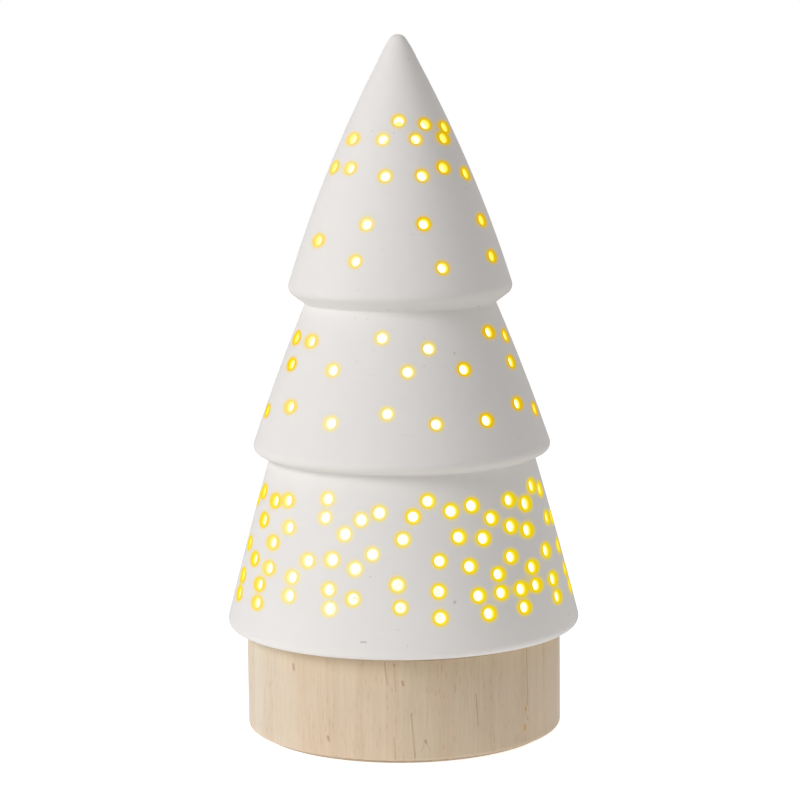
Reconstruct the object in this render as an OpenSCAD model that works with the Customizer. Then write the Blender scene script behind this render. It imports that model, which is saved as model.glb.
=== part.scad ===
// Ceramic christmas tree light on a turned wooden base.
// A pierced hood of unglazed white ceramic, in three tiers, sits over a frosted lamp.
// The lamp runs on three AAA cells in a case let into the underside of the base.
// Millimetres, +Z up, origin at the middle of the underside of the felt ring.
// Bearings are in degrees from the front (-Y), and grow towards the right (+X).

/* [Tree] */
// Height of the tip above the table
tip_z = 200; // [198:0.5:202]
// Rounding of the tip
tip_round = 2.8; // [2.4:0.1:3.2]
// Thickness of the cast wall, measured level
wall_w = 3.9; // [3.4:0.1:4.3]
// Thickness of the floor of the hood
floor_t = 4; // [3:0.1:4.4]
// Radius of the opening in the floor
mouth_r = 30.6; // [30.4:0.1:31.4]
// Diameter of a punched hole
hole_d = 3.3; // [3:0.1:3.9]

/* [Tiers] */
// Widest radius of the top tier
tier_1_r = 32.1; // [31:0.1:33]
// Height of the top tier's rim
tier_1_z = 128.9; // [128:0.1:130]
// Outward bow of the top tier, half way down
tier_1_bow = 2.3; // [1.8:0.1:2.8]
// Radius of the neck below the top tier
neck_1_r = 27.4; // [27:0.1:28]
// Height of the neck below the top tier
neck_1_z = 124; // [123.5:0.1:124.5]
// Widest radius of the middle tier
tier_2_r = 42.8; // [42:0.1:43.6]
// Height of the middle tier's rim
tier_2_z = 83.2; // [82.8:0.1:83.8]
// Outward bow of the middle tier
tier_2_bow = 0.4; // [0.2:0.1:0.8]
// Radius of the neck below the middle tier
neck_2_r = 38.2; // [37.8:0.1:38.8]
// Height of the neck below the middle tier
neck_2_z = 79.9; // [79.4:0.1:80.2]
// Widest radius of the bottom tier
tier_3_r = 50.9; // [50:0.1:52]
// Height of the bottom tier's rim
tier_3_z = 32.7; // [32.5:0.1:33.2]
// Outward bow of the bottom tier
tier_3_bow = 0.2; // [0:0.1:0.5]
// Radius where the underside of the tree meets the wood
seat_r = 44.5; // [43.5:0.1:45]

/* [Wooden base] */
// Radius of the turned base
base_r = 45.5; // [45:0.1:46.5]
// Height of the shoulder that the tree sits on
seat_z = 29.9; // [29.5:0.1:30.2]
// Radius of the spigot that centres the tree
spigot_r = 30; // [29.6:0.1:30]
// Height of the spigot above the shoulder
spigot_h = 4; // [3:0.1:4]
// Thickness of the felt ring
felt_t = 1.2; // [1:0.1:1.3]

/* [Battery case] */
// Outer radius of the tub
tub_r = 33; // [32.8:0.1:33.2]
// Radius of the tub's flange
flange_r = 38.6; // [38.3:0.1:38.7]
// Length of the cell bay
bay_l = 50.6; // [50.4:0.1:50.8]
// Width of the cell bay
bay_w = 34; // [33.8:0.1:34.2]
// Distance between neighbouring cells
cell_pitch = 11.3; // [11.2:0.1:11.4]

/* [Lamp] */
// Radius of the frosted dome
dome_r = 18.3; // [17.6:0.1:18.3]
// Wall of the frosted dome
dome_t = 1.2; // [1:0.1:1.5]
// Distance of the outer lights from the middle one
led_ring_r = 10; // [8.5:0.1:10.5]

/* [Hidden] */

$fn = 96;
hole_fn = 24;
small_fn = 32;
// Overshoot of a cut past the face it opens
eps = 0.5;

// Where the straight line of the top tier would meet the axis
apex_z = tip_z + 3.1;
// Rounding of each rim, from the top tier down
rim_round = [2.8, 2.3, 2];
// Lean of the wall just above each rim, in degrees
rim_lean = [17, 19, 14];
// How far each rim's rounding turns under, in degrees
rim_turn = [50, 66, 77];
rim_r = [tier_1_r, tier_2_r, tier_3_r];
rim_z = [tier_1_z, tier_2_z, tier_3_z];
bow = [tier_1_bow, tier_2_bow, tier_3_bow];
top_r = [0, neck_1_r, neck_2_r];
top_z = [apex_z, neck_1_z, neck_2_z];

// The holes are punched by hand, in loose rows: each row is a height and its bearings.
top_rows = [
    [176, [0]], [175, [31]], [174, [61]],
    [171, [-53, -16, 17, 51]],
    [163, [-68, -44, 39]],
    [161, [-11, 18, 66]],
    [148, [-21, 15, 64]],
    [143, [-56]], [138, [-25, 62]], [136, [23]]
];
middle_rows = [
    [117, [-10, 55]], [115, [-72, -54, 73]], [114, [14]],
    [108, [-66, -34, 3, 31, 67]],
    [97, [-55, -6, 59]],
    [94, [-78, -30, 14, 37, 76]]
];
bottom_rows = [
    [73, [-31, 10, 66]], [71, [-76, -52, 28, 47, 75]], [70, [-61, -9, 19]], [69, [4, 57]],
    [68, [-84, -31, -16]], [67, [36]], [64, [-67, -48, -22, 45]], [63, [0, 21, 74]],
    [62, [31, 54, 83]], [59, [-56, -11]], [57, [-26, 13]],
    [56, [-78, -36, 42]], [55, [-17, 24, 64]], [54, [80]], [53, [-67]],
    [52, [-55, 35, 52]], [51, [-42, -2]], [49, [-26, 12]],
    [47, [-76, -59, -17, 26, 35, 44, 52, 64, 81]], [46, [-42]], [45, [-1]], [44, [-25]],
    [42, [-75, -58, 12, 29, 44, 64, 82]]
];
// Lone holes on the two sides, where the front and the back pattern leave a gap
side_holes = [
    [96, 167], [-96, 169], [91, 152], [-92, 146], [98, 137],
    [96, 104], [-98, 103], [92, 59], [-93, 50]
];

// Cell
cell_r = 5.25;
cell_l = 44.5;
nub_r = 1.9;
nub_h = 1;
// Levels of the battery case, from the underside up
floor_z0 = 1.4;
floor_z1 = 3.6;
door_z1 = 3.2;
bay_z0 = 3.3;
cell_z = 9.2;
bay_z1 = 15;
bay_roof_t = 1.4;
lid_z0 = 18.6;
lid_t = 1.4;
tub_t = 1.8;
pocket_z = 20.6;
pocket_r = tub_r + 0.5;
bay_half = [bay_l / 2, bay_w / 2];
// The wall round the bay, and the opening that the door fills
bay_out = bay_half + [2.2, 2];
door_gap = 0.2;
door_hole = bay_half + [1.3, 1.2];
door_half = door_hole - [door_gap, door_gap];

// Door hinge: a barrel along the left edge, with a trunnion at each end
hinge_x = -door_hole[0] + 1.4;
hinge_z = 2.5;
barrel_r = 1.1;
trunnion_r = 0.6;
trunnion_l = 1.3;
bore_r = trunnion_r + 0.05;
latch_half_w = 3.5;

// Contacts
plate_t = 0.4;
plate_x = bay_half[0] - plate_t;
plate_z = [4.6, 14.2];
plate_half_w = 4.5;
tab_half_w = 1.2;
tab_z = 18.1;
wire_d = 0.7;

// Circuit board and its slide switch
board_y = [-27, -20];
board_half_l = 13.5;
board_z = 10;
board_t = 1.2;
board_top = board_z + board_t;
switch_y = -23.5;
switch_half = [4.3, 2.2];
switch_z0 = 5.3;
knob_travel = 4;
knob_half = [1.5, 1.2];
knob_x = -knob_travel / 2;
board_screw_x = 7.4;

// Lamp
hole_wood_r = 22;
spigot_z = seat_z + spigot_h;
holder_r = 27.5;
holder_t = 1.8;
lamp_z = spigot_z + holder_t;
led_board_r = dome_r - 0.1;
led_board_t = 1.2;
led_z = lamp_z + led_board_t;
dome_z = led_z + 4.1;
pin_offset = 1.27;
led_spots = [[0, 0], for (a = [45:90:315]) led_ring_r * [cos(a), sin(a)]];

// Screws: radius of the circle that each set stands on
case_screw_ring = 36.1;
case_screw_angles = [90, 210, 330];
holder_screw_ring = 24.6;
lid_screw_spots = [[-14, 24.5], [14, 24.5], [0, -29.1]];

// Routes of the leads, each from its solder joint to its solder joint
lead_d = 1.2;
red_battery_route = [
    [24.9, -11.3, 17.5], [22, -11.3, 17.5], [19.4, -13.2, 17.5], [16.4, -17, 17.5],
    [14, -20.2, 16.7], [12.3, -22.4, 14.8], [11.6, -23, 12.9], [11.6, -23, 11.2]
];
black_battery_route = [
    [-24.9, 11.3, 17.5], [-22, 11.3, 17.5], [-19.2, 9, 17.5], [-16.6, 3, 17.5],
    [-14.6, -5, 17.5], [-13.4, -13, 17.5], [-12.6, -18.6, 17.2], [-11.9, -21.8, 15.4],
    [-11.6, -23, 13], [-11.6, -23, 11.2]
];
red_lamp_route = [
    [4.6, -21.4, 11.2], [4.6, -21.4, 13.4], [4.2, -21.1, 15.6], [3, -19.6, 17.6],
    [1.8, -17.4, 19.2], [1.6, -16, 21.4], [2, -13.8, 25], [2.8, -10, 29.4],
    [3.4, -7, 32.6], [3.6, -6, 34.2], [3.6, -6, 35.7]
];
black_lamp_route = [for (p = red_lamp_route) [-p[0], p[1], p[2]]];

// Shapes that the sub-parts share

function mix(a, b, t) = a + (b - a) * t;

// Box from its low corner to its high corner
module block(low, high) {
    translate(low) cube(high - low);
}

// Box centred on the Z axis, from its half width and depth and its two levels
module slab(half, z0, z1) {
    block([-half[0], -half[1], z0], [half[0], half[1], z1]);
}

module disc(r, z0, z1) {
    translate([0, 0, z0]) cylinder(r = r, h = z1 - z0);
}

module ring(outer_r, inner_r, z0, z1) {
    difference() {
        disc(outer_r, z0, z1);
        disc(inner_r, z0 - eps, z1 + eps);
    }
}

// Countersunk screw with its head's flat face at z = 0, pointing up
module countersunk(head_r, shank_r, head_h, length) {
    difference() {
        union() {
            cylinder(r1 = head_r, r2 = shank_r, h = head_h, $fn = small_fn);
            cylinder(r = shank_r, h = length - shank_r, $fn = small_fn);
            translate([0, 0, length - shank_r])
                cylinder(r1 = shank_r, r2 = shank_r / 4, h = shank_r, $fn = small_fn);
        }
        for (a = [0, 90])
            rotate(a) slab([head_r * 0.6, head_r * 0.14], -eps, head_h * 0.6);
    }
}

// The cut that a countersunk screw needs, a little wider than the screw
module screw_seat(head_r, shank_r, head_h, length) {
    play = 0.08;
    translate([0, 0, -eps]) cylinder(r = head_r + play, h = eps, $fn = small_fn);
    cylinder(r1 = head_r + play, r2 = shank_r + play, h = head_h, $fn = small_fn);
    cylinder(r = shank_r + play, h = length, $fn = small_fn);
}

// The wall of the tree

// Radius and height of the point where tier k's curve meets its rounded rim
function tier_end(k) = [
    rim_r[k] - rim_round[k] * (1 - cos(rim_lean[k])),
    rim_z[k] + rim_round[k] * sin(rim_lean[k])
];
// Radius and height at a share t of the way down tier k
function tier_point(k, t) = [
    mix(top_r[k], tier_end(k)[0], t) + 4 * bow[k] * t * (1 - t),
    mix(top_z[k], tier_end(k)[1], t)
];
function rim_points(k) = [
    for (s = [0:4])
        let (a = mix(rim_lean[k], -rim_turn[k], s / 4))
        [rim_r[k] - rim_round[k] * (1 - cos(a)), rim_z[k] + rim_round[k] * sin(a)]
];
function tip_points() = [
    for (a = [90:-15:30])
        [tip_round * cos(a), tip_z - tip_round * (1 - sin(a))]
];
// The share of tier 1 that the rounded tip takes, and the steps of each tier's curve
tip_share = 0.14;
tier_steps = [6, 3, 2];
function wall_points(k) =
    let (first = k == 0 ? tip_share : 0)
    [for (s = [0:tier_steps[k] - 1]) tier_point(k, mix(first, 1, s / tier_steps[k]))];
function outer_outline() = concat(
    tip_points(), wall_points(0), rim_points(0), wall_points(1), rim_points(1),
    wall_points(2), rim_points(2), [[seat_r, seat_z]]
);
function inset(points) = [for (p = points) [p[0] - wall_w, p[1]]];
function inner_outline() = [
    for (p = inset(concat(wall_points(0), [tier_end(0)], wall_points(1), [tier_end(1)],
                          wall_points(2), [tier_point(2, 0.95)])))
        if (p[0] > 1) p
];
function reversed(list) = [for (i = [len(list) - 1:-1:0]) list[i]];

function tier_at(z) = z > neck_1_z ? 0 : z > neck_2_z ? 1 : 2;
function wall_r(z) =
    let (k = tier_at(z), t = (top_z[k] - z) / (top_z[k] - tier_end(k)[1]))
    tier_point(k, t)[0];
function wall_lean(z) = atan((wall_r(z - 1) - wall_r(z + 1)) / 2);

// One punched hole, square to the wall
module punch(bearing, z) {
    rotate(bearing - 90)
        translate([wall_r(z), 0, z])
            rotate([0, 90 - wall_lean(z), 0])
                translate([0, 0, -wall_w - 1])
                    cylinder(d = hole_d, h = wall_w + 2.5, $fn = hole_fn);
}

module punch_rows(rows) {
    for (row = rows, bearing = row[1], half = [0, 180])
        punch(bearing + half, row[0]);
}

module ceramic_tree() {
    inner = inner_outline();
    inner_foot = inner[len(inner) - 1];
    profile = concat(
        outer_outline(),
        [[mouth_r, seat_z], [mouth_r, seat_z + floor_t], [inner_foot[0] - 2, seat_z + floor_t]],
        reversed(inner),
        [[0, inner[0][1] + 1]]
    );
    color([0.92, 0.91, 0.9])
        difference() {
            rotate_extrude() polygon(profile);
            punch_rows(top_rows);
            punch_rows(middle_rows);
            punch_rows(bottom_rows);
            for (h = side_holes) punch(h[0], h[1]);
        }
}

// The wooden base, and what closes it below

module base_outline() {
    foot_round = 1;
    shoulder_round = 0.5;
    top = seat_z;
    translate([base_r - foot_round, felt_t + foot_round]) circle(foot_round, $fn = small_fn);
    translate([base_r - shoulder_round, top - shoulder_round])
        circle(shoulder_round, $fn = small_fn);
    translate([0, felt_t]) square([base_r - foot_round, top - felt_t]);
    translate([0, felt_t + foot_round])
        square([base_r - shoulder_round, top - felt_t - foot_round]);
    translate([0, felt_t + foot_round])
        square([base_r, top - felt_t - foot_round - shoulder_round]);
    // The spigot, with a rounded edge
    translate([0, top - 1]) square([spigot_r - shoulder_round, spigot_h + 1]);
    translate([0, top - 1]) square([spigot_r, spigot_h + 1 - shoulder_round]);
    translate([spigot_r - shoulder_round, top + spigot_h - shoulder_round])
        circle(shoulder_round, $fn = small_fn);
}

module wooden_base() {
    color([0.86, 0.78, 0.66])
        difference() {
            rotate_extrude() base_outline();
            disc(flange_r + 0.3, felt_t - eps, floor_z1);
            disc(pocket_r, felt_t - eps, pocket_z);
            disc(hole_wood_r, felt_t - eps, spigot_z + eps);
            for (a = case_screw_angles)
                rotate(a) translate([case_screw_ring, 0, floor_z1 - eps])
                    cylinder(r = 1.15, h = 11, $fn = small_fn);
            for (x = [-holder_screw_ring, holder_screw_ring])
                translate([x, 0, spigot_z - 9.5]) cylinder(r = 0.95, h = 10, $fn = small_fn);
        }
}

module felt_ring() {
    color([0.32, 0.3, 0.28])
        ring(base_r - 3, flange_r + 0.8, 0, felt_t);
}

// The battery case

module bay_shell() {
    intersection() {
        slab(bay_out, bay_z0, bay_z1 + bay_roof_t);
        disc(tub_r, bay_z0 - eps, lid_z0);
    }
}

module battery_case() {
    knob_slot = [knob_half[0] + knob_travel / 2 + 0.3, knob_half[1] + 0.3];
    color([0.93, 0.93, 0.91])
        difference() {
            union() {
                disc(flange_r, floor_z0, floor_z1);
                ring(tub_r, tub_r - tub_t, floor_z1 - eps, lid_z0);
                bay_shell();
                for (p = lid_screw_spots)
                    translate([p[0], p[1], floor_z1 - eps])
                        cylinder(r = 2, h = lid_z0 - floor_z1 + eps, $fn = small_fn);
                for (x = [-board_screw_x, board_screw_x])
                    translate([x, switch_y, floor_z1 - eps])
                        cylinder(r = 1.6, h = board_z - floor_z1 + eps, $fn = small_fn);
            }
            slab(bay_half, floor_z0 - eps, bay_z1);
            slab(door_hole, floor_z0 - eps, bay_z0);
            // Room for the barrel of the door to turn
            block([-door_hole[0], -door_hole[1], floor_z0], [hinge_x + 1.4, door_hole[1], 3.9]);
            for (side = [0, 180])
                rotate(side) translate([side == 0 ? hinge_x : -hinge_x, door_hole[1] - eps, hinge_z])
                    rotate([-90, 0, 0])
                        cylinder(r = bore_r, h = trunnion_l + 0.2 + eps, $fn = small_fn);
            // Room for the latch, and a scallop for a fingertip beside it
            block([bay_half[0] - eps, -latch_half_w - 0.7, floor_z0 - eps],
                  [29.3, latch_half_w + 0.7, 8]);
            translate([31, 0, floor_z0 - eps]) cylinder(r = 5, h = eps + 1, $fn = 48);
            // Slot of the switch, in a shallow finger recess
            translate([0, switch_y, 0]) {
                slab(knob_slot, floor_z0 - eps, floor_z1 + eps);
                slab(knob_slot + [1.4, 1.1], floor_z0 - eps, floor_z0 + 0.8);
            }
            for (a = case_screw_angles)
                rotate(a) translate([case_screw_ring, 0, floor_z0])
                    screw_seat(2.2, 1.1, 1.3, floor_z1);
            // Slots for the tabs of the two outer contacts
            for (side = [-1, 1])
                translate([side * (plate_x + plate_t / 2), -side * cell_pitch, 0])
                    slab([0.5, tab_half_w + 0.3], bay_z1 - eps, bay_z1 + bay_roof_t + eps);
            for (p = lid_screw_spots)
                translate([p[0], p[1], lid_z0 - 5]) cylinder(r = 0.85, h = 6, $fn = small_fn);
            for (x = [-board_screw_x, board_screw_x])
                translate([x, switch_y, board_z - 4]) cylinder(r = 0.85, h = 5, $fn = small_fn);
        }
}

module case_lid() {
    color([0.93, 0.93, 0.91])
        difference() {
            disc(tub_r, lid_z0, lid_z0 + lid_t);
            translate([0, -16.6, lid_z0 - eps]) cylinder(r = 3.8, h = lid_t + 2 * eps, $fn = 48);
            for (p = lid_screw_spots)
                translate([p[0], p[1], lid_z0 - eps])
                    cylinder(r = 1.1, h = lid_t + 2 * eps, $fn = small_fn);
        }
}

module latch_outline() {
    leg_x = bay_half[0] + 0.3;
    polygon([
        [leg_x, door_z1 - 0.6], [leg_x, 6.2], [leg_x + 0.8, 7], [leg_x + 1.9, 7],
        [leg_x + 2.7, 6.2], [leg_x + 2.7, 2.6], [leg_x + 3.3, 2.6], [leg_x + 3.3, floor_z0],
        [leg_x + 2, floor_z0], [leg_x + 2, 5.9], [leg_x + 1.6, 6.3], [leg_x + 1.1, 6.3],
        [leg_x + 0.7, 5.9], [leg_x + 0.7, door_z1 - 0.6]
    ]);
}

module battery_door() {
    color([0.93, 0.93, 0.91]) {
        block([hinge_x, -door_half[1], floor_z0], [door_half[0], door_half[1], door_z1]);
        translate([hinge_x, door_half[1], hinge_z])
            rotate([90, 0, 0]) cylinder(r = barrel_r, h = 2 * door_half[1], $fn = small_fn);
        translate([hinge_x, door_half[1] + trunnion_l, hinge_z])
            rotate([90, 0, 0])
                cylinder(r = trunnion_r, h = 2 * (door_half[1] + trunnion_l), $fn = small_fn);
        translate([0, latch_half_w, 0])
            rotate([90, 0, 0]) linear_extrude(2 * latch_half_w) latch_outline();
        // Ribs that keep the cells apart and stiffen the door
        for (y = [-cell_pitch / 2, cell_pitch / 2])
            block([-15, y - 0.6, door_z1 - eps], [15, y + 0.6, 5]);
        // Grip lines across the free end
        for (x = [14:2.2:22])
            block([x, -6, floor_z0 - 0.3], [x + 0.9, 6, floor_z0 + eps]);
    }
}

// Cells, contacts and springs. The middle cell points the other way.

module cell(y, turn) {
    shift = plate_x - cell_l / 2;
    translate([0, y, cell_z]) rotate(turn) translate([shift - cell_l / 2, 0, 0]) rotate([0, 90, 0])
        rotate_extrude(angle = 360)
            polygon([
                [0, 0], [cell_r - 0.5, 0], [cell_r, 0.5], [cell_r, cell_l - nub_h - 0.6],
                [cell_r - 0.6, cell_l - nub_h], [nub_r, cell_l - nub_h],
                [nub_r, cell_l - 0.2], [nub_r - 0.2, cell_l], [0, cell_l]
            ]);
}

module cell_front() {
    color([0.22, 0.23, 0.25]) cell(-cell_pitch, 0);
}

module cell_middle() {
    color([0.22, 0.23, 0.25]) cell(0, 180);
}

module cell_back() {
    color([0.22, 0.23, 0.25]) cell(cell_pitch, 0);
}

// Contact plate at one end of the bay: side is -1 at the left end and 1 at the right
module contact_plate(side, y_low, y_high) {
    x = side > 0 ? [plate_x, plate_x + plate_t] : [-plate_x - plate_t, -plate_x];
    block([x[0], y_low - plate_half_w, plate_z[0]], [x[1], y_high + plate_half_w, plate_z[1]]);
}

module contact_tab(side) {
    x = side > 0 ? [plate_x, plate_x + plate_t] : [-plate_x - plate_t, -plate_x];
    y = -side * cell_pitch;
    block([x[0], y - tab_half_w, plate_z[1] - eps], [x[1], y + tab_half_w, tab_z]);
}

module positive_contact() {
    color([0.8, 0.79, 0.76]) {
        contact_plate(1, -cell_pitch, -cell_pitch);
        contact_tab(1);
    }
}

module left_link_contact() {
    color([0.8, 0.79, 0.76]) contact_plate(-1, -cell_pitch, 0);
}

module right_link_contact() {
    color([0.8, 0.79, 0.76]) contact_plate(1, 0, cell_pitch);
}

module negative_contact() {
    color([0.8, 0.79, 0.76]) {
        contact_plate(-1, cell_pitch, cell_pitch);
        contact_tab(-1);
    }
}

// A closed tube along points, of a diameter and a number of sides
function unit(v) = v / norm(v);
function heading(points, i) =
    unit(points[min(i + 1, len(points) - 1)] - points[max(i - 1, 0)]);
// Sideways direction, carried along so that the tube doesn't twist
function sideways(points, i, previous) =
    let (h = heading(points, i)) unit(previous - (previous * h) * h);
function frames(points, start) = [
    for (i = 0, s = sideways(points, 0, start); i < len(points);
         i = i + 1, s = i < len(points) ? sideways(points, i, s) : s)
        [s, cross(heading(points, i), s)]
];
module tube(points, d, sides, start) {
    turned = frames(points, start);
    count = len(points);
    rings = [
        for (i = [0:count - 1], s = [0:sides - 1])
            points[i] + d / 2 * (cos(360 * s / sides) * turned[i][0]
                                 + sin(360 * s / sides) * turned[i][1])
    ];
    walls = [
        for (i = [0:count - 2], s = [0:sides - 1])
            let (n = (s + 1) % sides, a = i * sides, b = a + sides)
            each [[a + s, b + s, b + n], [a + s, b + n, a + n]]
    ];
    caps = [
        for (s = [1:sides - 2])
            each [[0, s, s + 1], [(count - 1) * sides, (count - 1) * sides + s + 1,
                                  (count - 1) * sides + s]]
    ];
    polyhedron(rings, concat(walls, caps));
}

// Conical contact spring, from the plate at x = 0 to the cell, along +X
spring_l = 2 * plate_x - cell_l;
spring_turns = 3.5;
spring_rings = 12;
spring_wide = 3.6;
spring_narrow = 2.2;
spring_points = [
    for (i = [0:spring_turns * spring_rings])
        let (t = i / (spring_turns * spring_rings), a = 360 * spring_turns * t,
             r = mix(spring_wide, spring_narrow, t))
        [mix(0.4, spring_l - 0.4, t), r * cos(a), r * sin(a)]
];
// Least gap between one turn of the spring and the next
spring_gap = min([
    for (i = [0:len(spring_points) - spring_rings - 1],
         j = [i + spring_rings / 2:len(spring_points) - 1])
        norm(spring_points[i] - spring_points[j])
]) - wire_d;
echo(spring_gap = spring_gap);

module spring(side, y) {
    translate([side * plate_x, y, cell_z])
        rotate(side > 0 ? 180 : 0)
            tube(spring_points, wire_d, 6, [0, 1, 0]);
}

module spring_front() {
    color([0.75, 0.75, 0.73]) spring(-1, -cell_pitch);
}

module spring_middle() {
    color([0.75, 0.75, 0.73]) spring(1, 0);
}

module spring_back() {
    color([0.75, 0.75, 0.73]) spring(-1, cell_pitch);
}

// Circuit board, its parts and the slide switch

module circuit_board() {
    color([0.13, 0.42, 0.24])
        difference() {
            block([-board_half_l, board_y[0], board_z], [board_half_l, board_y[1], board_top]);
            for (x = [-board_screw_x, board_screw_x])
                translate([x, switch_y, board_z - eps])
                    cylinder(r = 1.1, h = board_t + 2 * eps, $fn = small_fn);
        }
}

module timer_chip() {
    color([0.12, 0.12, 0.13])
        translate([0, -24, board_top]) {
            slab([1.95, 2.45], 0.2, 1.6);
            for (y = [-1.9:1.27:2], side = [-1, 1])
                translate([side * 2.3, y, 0]) slab([0.7, 0.2], 0, 0.45);
        }
}

module resistor() {
    color([0.55, 0.68, 0.72])
        translate([-9.9, -25.6, board_top]) {
            slab([1, 0.62], 0, 0.55);
            for (x = [-0.9, 0.9]) translate([x, 0, 0]) slab([0.2, 0.66], 0, 0.6);
        }
}

module switch_body() {
    channel = [knob_half[0] + knob_travel / 2 - 0.7, 0.9];
    color([0.7, 0.7, 0.7])
        difference() {
            translate([0, switch_y, 0]) slab(switch_half, switch_z0, board_z);
            translate([0, switch_y, 0]) slab(channel, switch_z0 - eps, 7.6);
        }
}

module switch_knob() {
    color([0.14, 0.14, 0.15])
        translate([knob_x, switch_y, 0]) {
            slab(knob_half, 0.7, 3.8);
            slab([0.6, 0.6], 3.8 - eps, 7.2);
        }
}

// The lamp

module lamp_holder() {
    color([0.94, 0.94, 0.92])
        difference() {
            union() {
                ring(hole_wood_r - 0.4, hole_wood_r - 2.2, spigot_z - 8, spigot_z + eps);
                disc(holder_r, spigot_z, lamp_z);
                ring(dome_r + 1.6, dome_r + 0.2, lamp_z - eps, lamp_z + 4.2);
            }
            disc(13.5, spigot_z - eps, lamp_z + eps);
            for (x = [-holder_screw_ring, holder_screw_ring])
                translate([x, 0, lamp_z]) rotate([180, 0, 0]) screw_seat(2, 0.9, 1.2, 4);
        }
}

module led_board() {
    color([0.93, 0.94, 0.93])
        difference() {
            disc(led_board_r, lamp_z, led_z);
            for (p = led_spots, side = [-1, 1])
                translate([p[0] + side * pin_offset, p[1], lamp_z - eps])
                    cylinder(r = 0.45, h = led_board_t + 2 * eps, $fn = hole_fn);
        }
}

// One round-topped light with its two legs
module led(index) {
    p = led_spots[index - 1];
    color([1, 0.93, 0.75])
        translate([p[0], p[1], led_z]) {
            cylinder(r = 2.9, h = 1, $fn = small_fn);
            cylinder(r = 2.5, h = 6, $fn = small_fn);
            translate([0, 0, 6]) sphere(r = 2.5, $fn = small_fn);
            for (side = [-1, 1])
                translate([side * pin_offset, 0, -2.7]) cylinder(r = 0.25, h = 3, $fn = 16);
        }
}

module diffuser() {
    color([0.98, 0.97, 0.93, 0.6])
        difference() {
            union() {
                disc(dome_r, led_z, dome_z);
                translate([0, 0, dome_z]) sphere(r = dome_r);
            }
            disc(dome_r - dome_t, led_z - eps, dome_z);
            translate([0, 0, dome_z]) sphere(r = dome_r - dome_t);
            // The lower half of the two balls is cut away with the board's space
            disc(dome_r + 1, dome_z - dome_r - 1, led_z);
        }
}

// Leads and screws

// A smooth run of points through a route, a few steps between each two points
lead_steps = 2;
function smooth_point(a, b, c, d, t) =
    0.5 * (2 * b + (c - a) * t + (2 * a - 5 * b + 4 * c - d) * t * t
           + (3 * b - a - 3 * c + d) * t * t * t);
// The first and the last stretch stay straight, square to the solder joint
function smooth(route) = concat([
    for (i = [0:len(route) - 2], s = [0:lead_steps - 1])
        let (t = s / lead_steps)
        i == 0 || i == len(route) - 2
            ? mix(route[i], route[i + 1], t)
            : smooth_point(route[i - 1], route[i], route[i + 1], route[i + 2], t)
], [route[len(route) - 1]]);

module battery_lead_red() {
    color([0.75, 0.1, 0.08]) tube(smooth(red_battery_route), lead_d, 8, [0, 0, 1]);
}

module battery_lead_black() {
    color([0.1, 0.1, 0.1]) tube(smooth(black_battery_route), lead_d, 8, [0, 0, 1]);
}

module lamp_lead_red() {
    color([0.75, 0.1, 0.08]) tube(smooth(red_lamp_route), lead_d, 8, [1, 0, 0]);
}

module lamp_lead_black() {
    color([0.1, 0.1, 0.1]) tube(smooth(black_lamp_route), lead_d, 8, [1, 0, 0]);
}

module case_screws() {
    color([0.76, 0.76, 0.75])
        for (a = case_screw_angles)
            rotate(a) translate([case_screw_ring, 0, floor_z0]) countersunk(2.2, 1.1, 1.3, 11);
}

// Pan-head screw pointing down, with the underside of its head at z = 0
module pan_head(head_r, shank_r, head_h, length) {
    difference() {
        union() {
            cylinder(r = head_r, h = head_h, $fn = small_fn);
            translate([0, 0, -length]) cylinder(r = shank_r, h = length, $fn = small_fn);
        }
        for (a = [0, 90])
            rotate(a) slab([head_r * 0.6, head_r * 0.14], head_h * 0.5, head_h + eps);
    }
}

module lid_screws() {
    color([0.76, 0.76, 0.75])
        for (p = lid_screw_spots)
            translate([p[0], p[1], lid_z0 + lid_t]) pan_head(1.6, 0.8, 0.5, 5);
}

module board_screws() {
    color([0.76, 0.76, 0.75])
        for (x = [-board_screw_x, board_screw_x])
            translate([x, switch_y, board_top]) pan_head(1.6, 0.8, 1, 4);
}

module holder_screws() {
    color([0.76, 0.76, 0.75])
        for (x = [-holder_screw_ring, holder_screw_ring])
            translate([x, 0, lamp_z]) rotate([180, 0, 0]) countersunk(2, 0.9, 1.2, 10);
}

ceramic_tree();
wooden_base();
felt_ring();
battery_case();
case_lid();
battery_door();
cell_front();
cell_middle();
cell_back();
spring_front();
spring_middle();
spring_back();
positive_contact();
left_link_contact();
right_link_contact();
negative_contact();
circuit_board();
timer_chip();
resistor();
switch_body();
switch_knob();
lamp_holder();
led_board();
led(1);  // led_1
led(2);  // led_2
led(3);  // led_3
led(4);  // led_4
led(5);  // led_5
diffuser();
battery_lead_red();
battery_lead_black();
lamp_lead_red();
lamp_lead_black();
case_screws();
lid_screws();
board_screws();
holder_screws();
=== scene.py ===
# %% [markdown]
# # A lit ceramic tree on a wooden base
# The real object is a pierced hood of unglazed white ceramic over a small warm lamp.
# The construction is a finished frame: every solid already has its place and its body.
# This lesson dresses that frame. It works in the frame's own axes, +Z up and -Y to the front,
# and writes sizes in millimetres, because that is how such a thing is drawn and turned.

import math

import bmesh
import bpy
import numpy as np
from mathutils import Matrix, Vector
from mathutils.geometry import delaunay_2d_cdt


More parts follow.
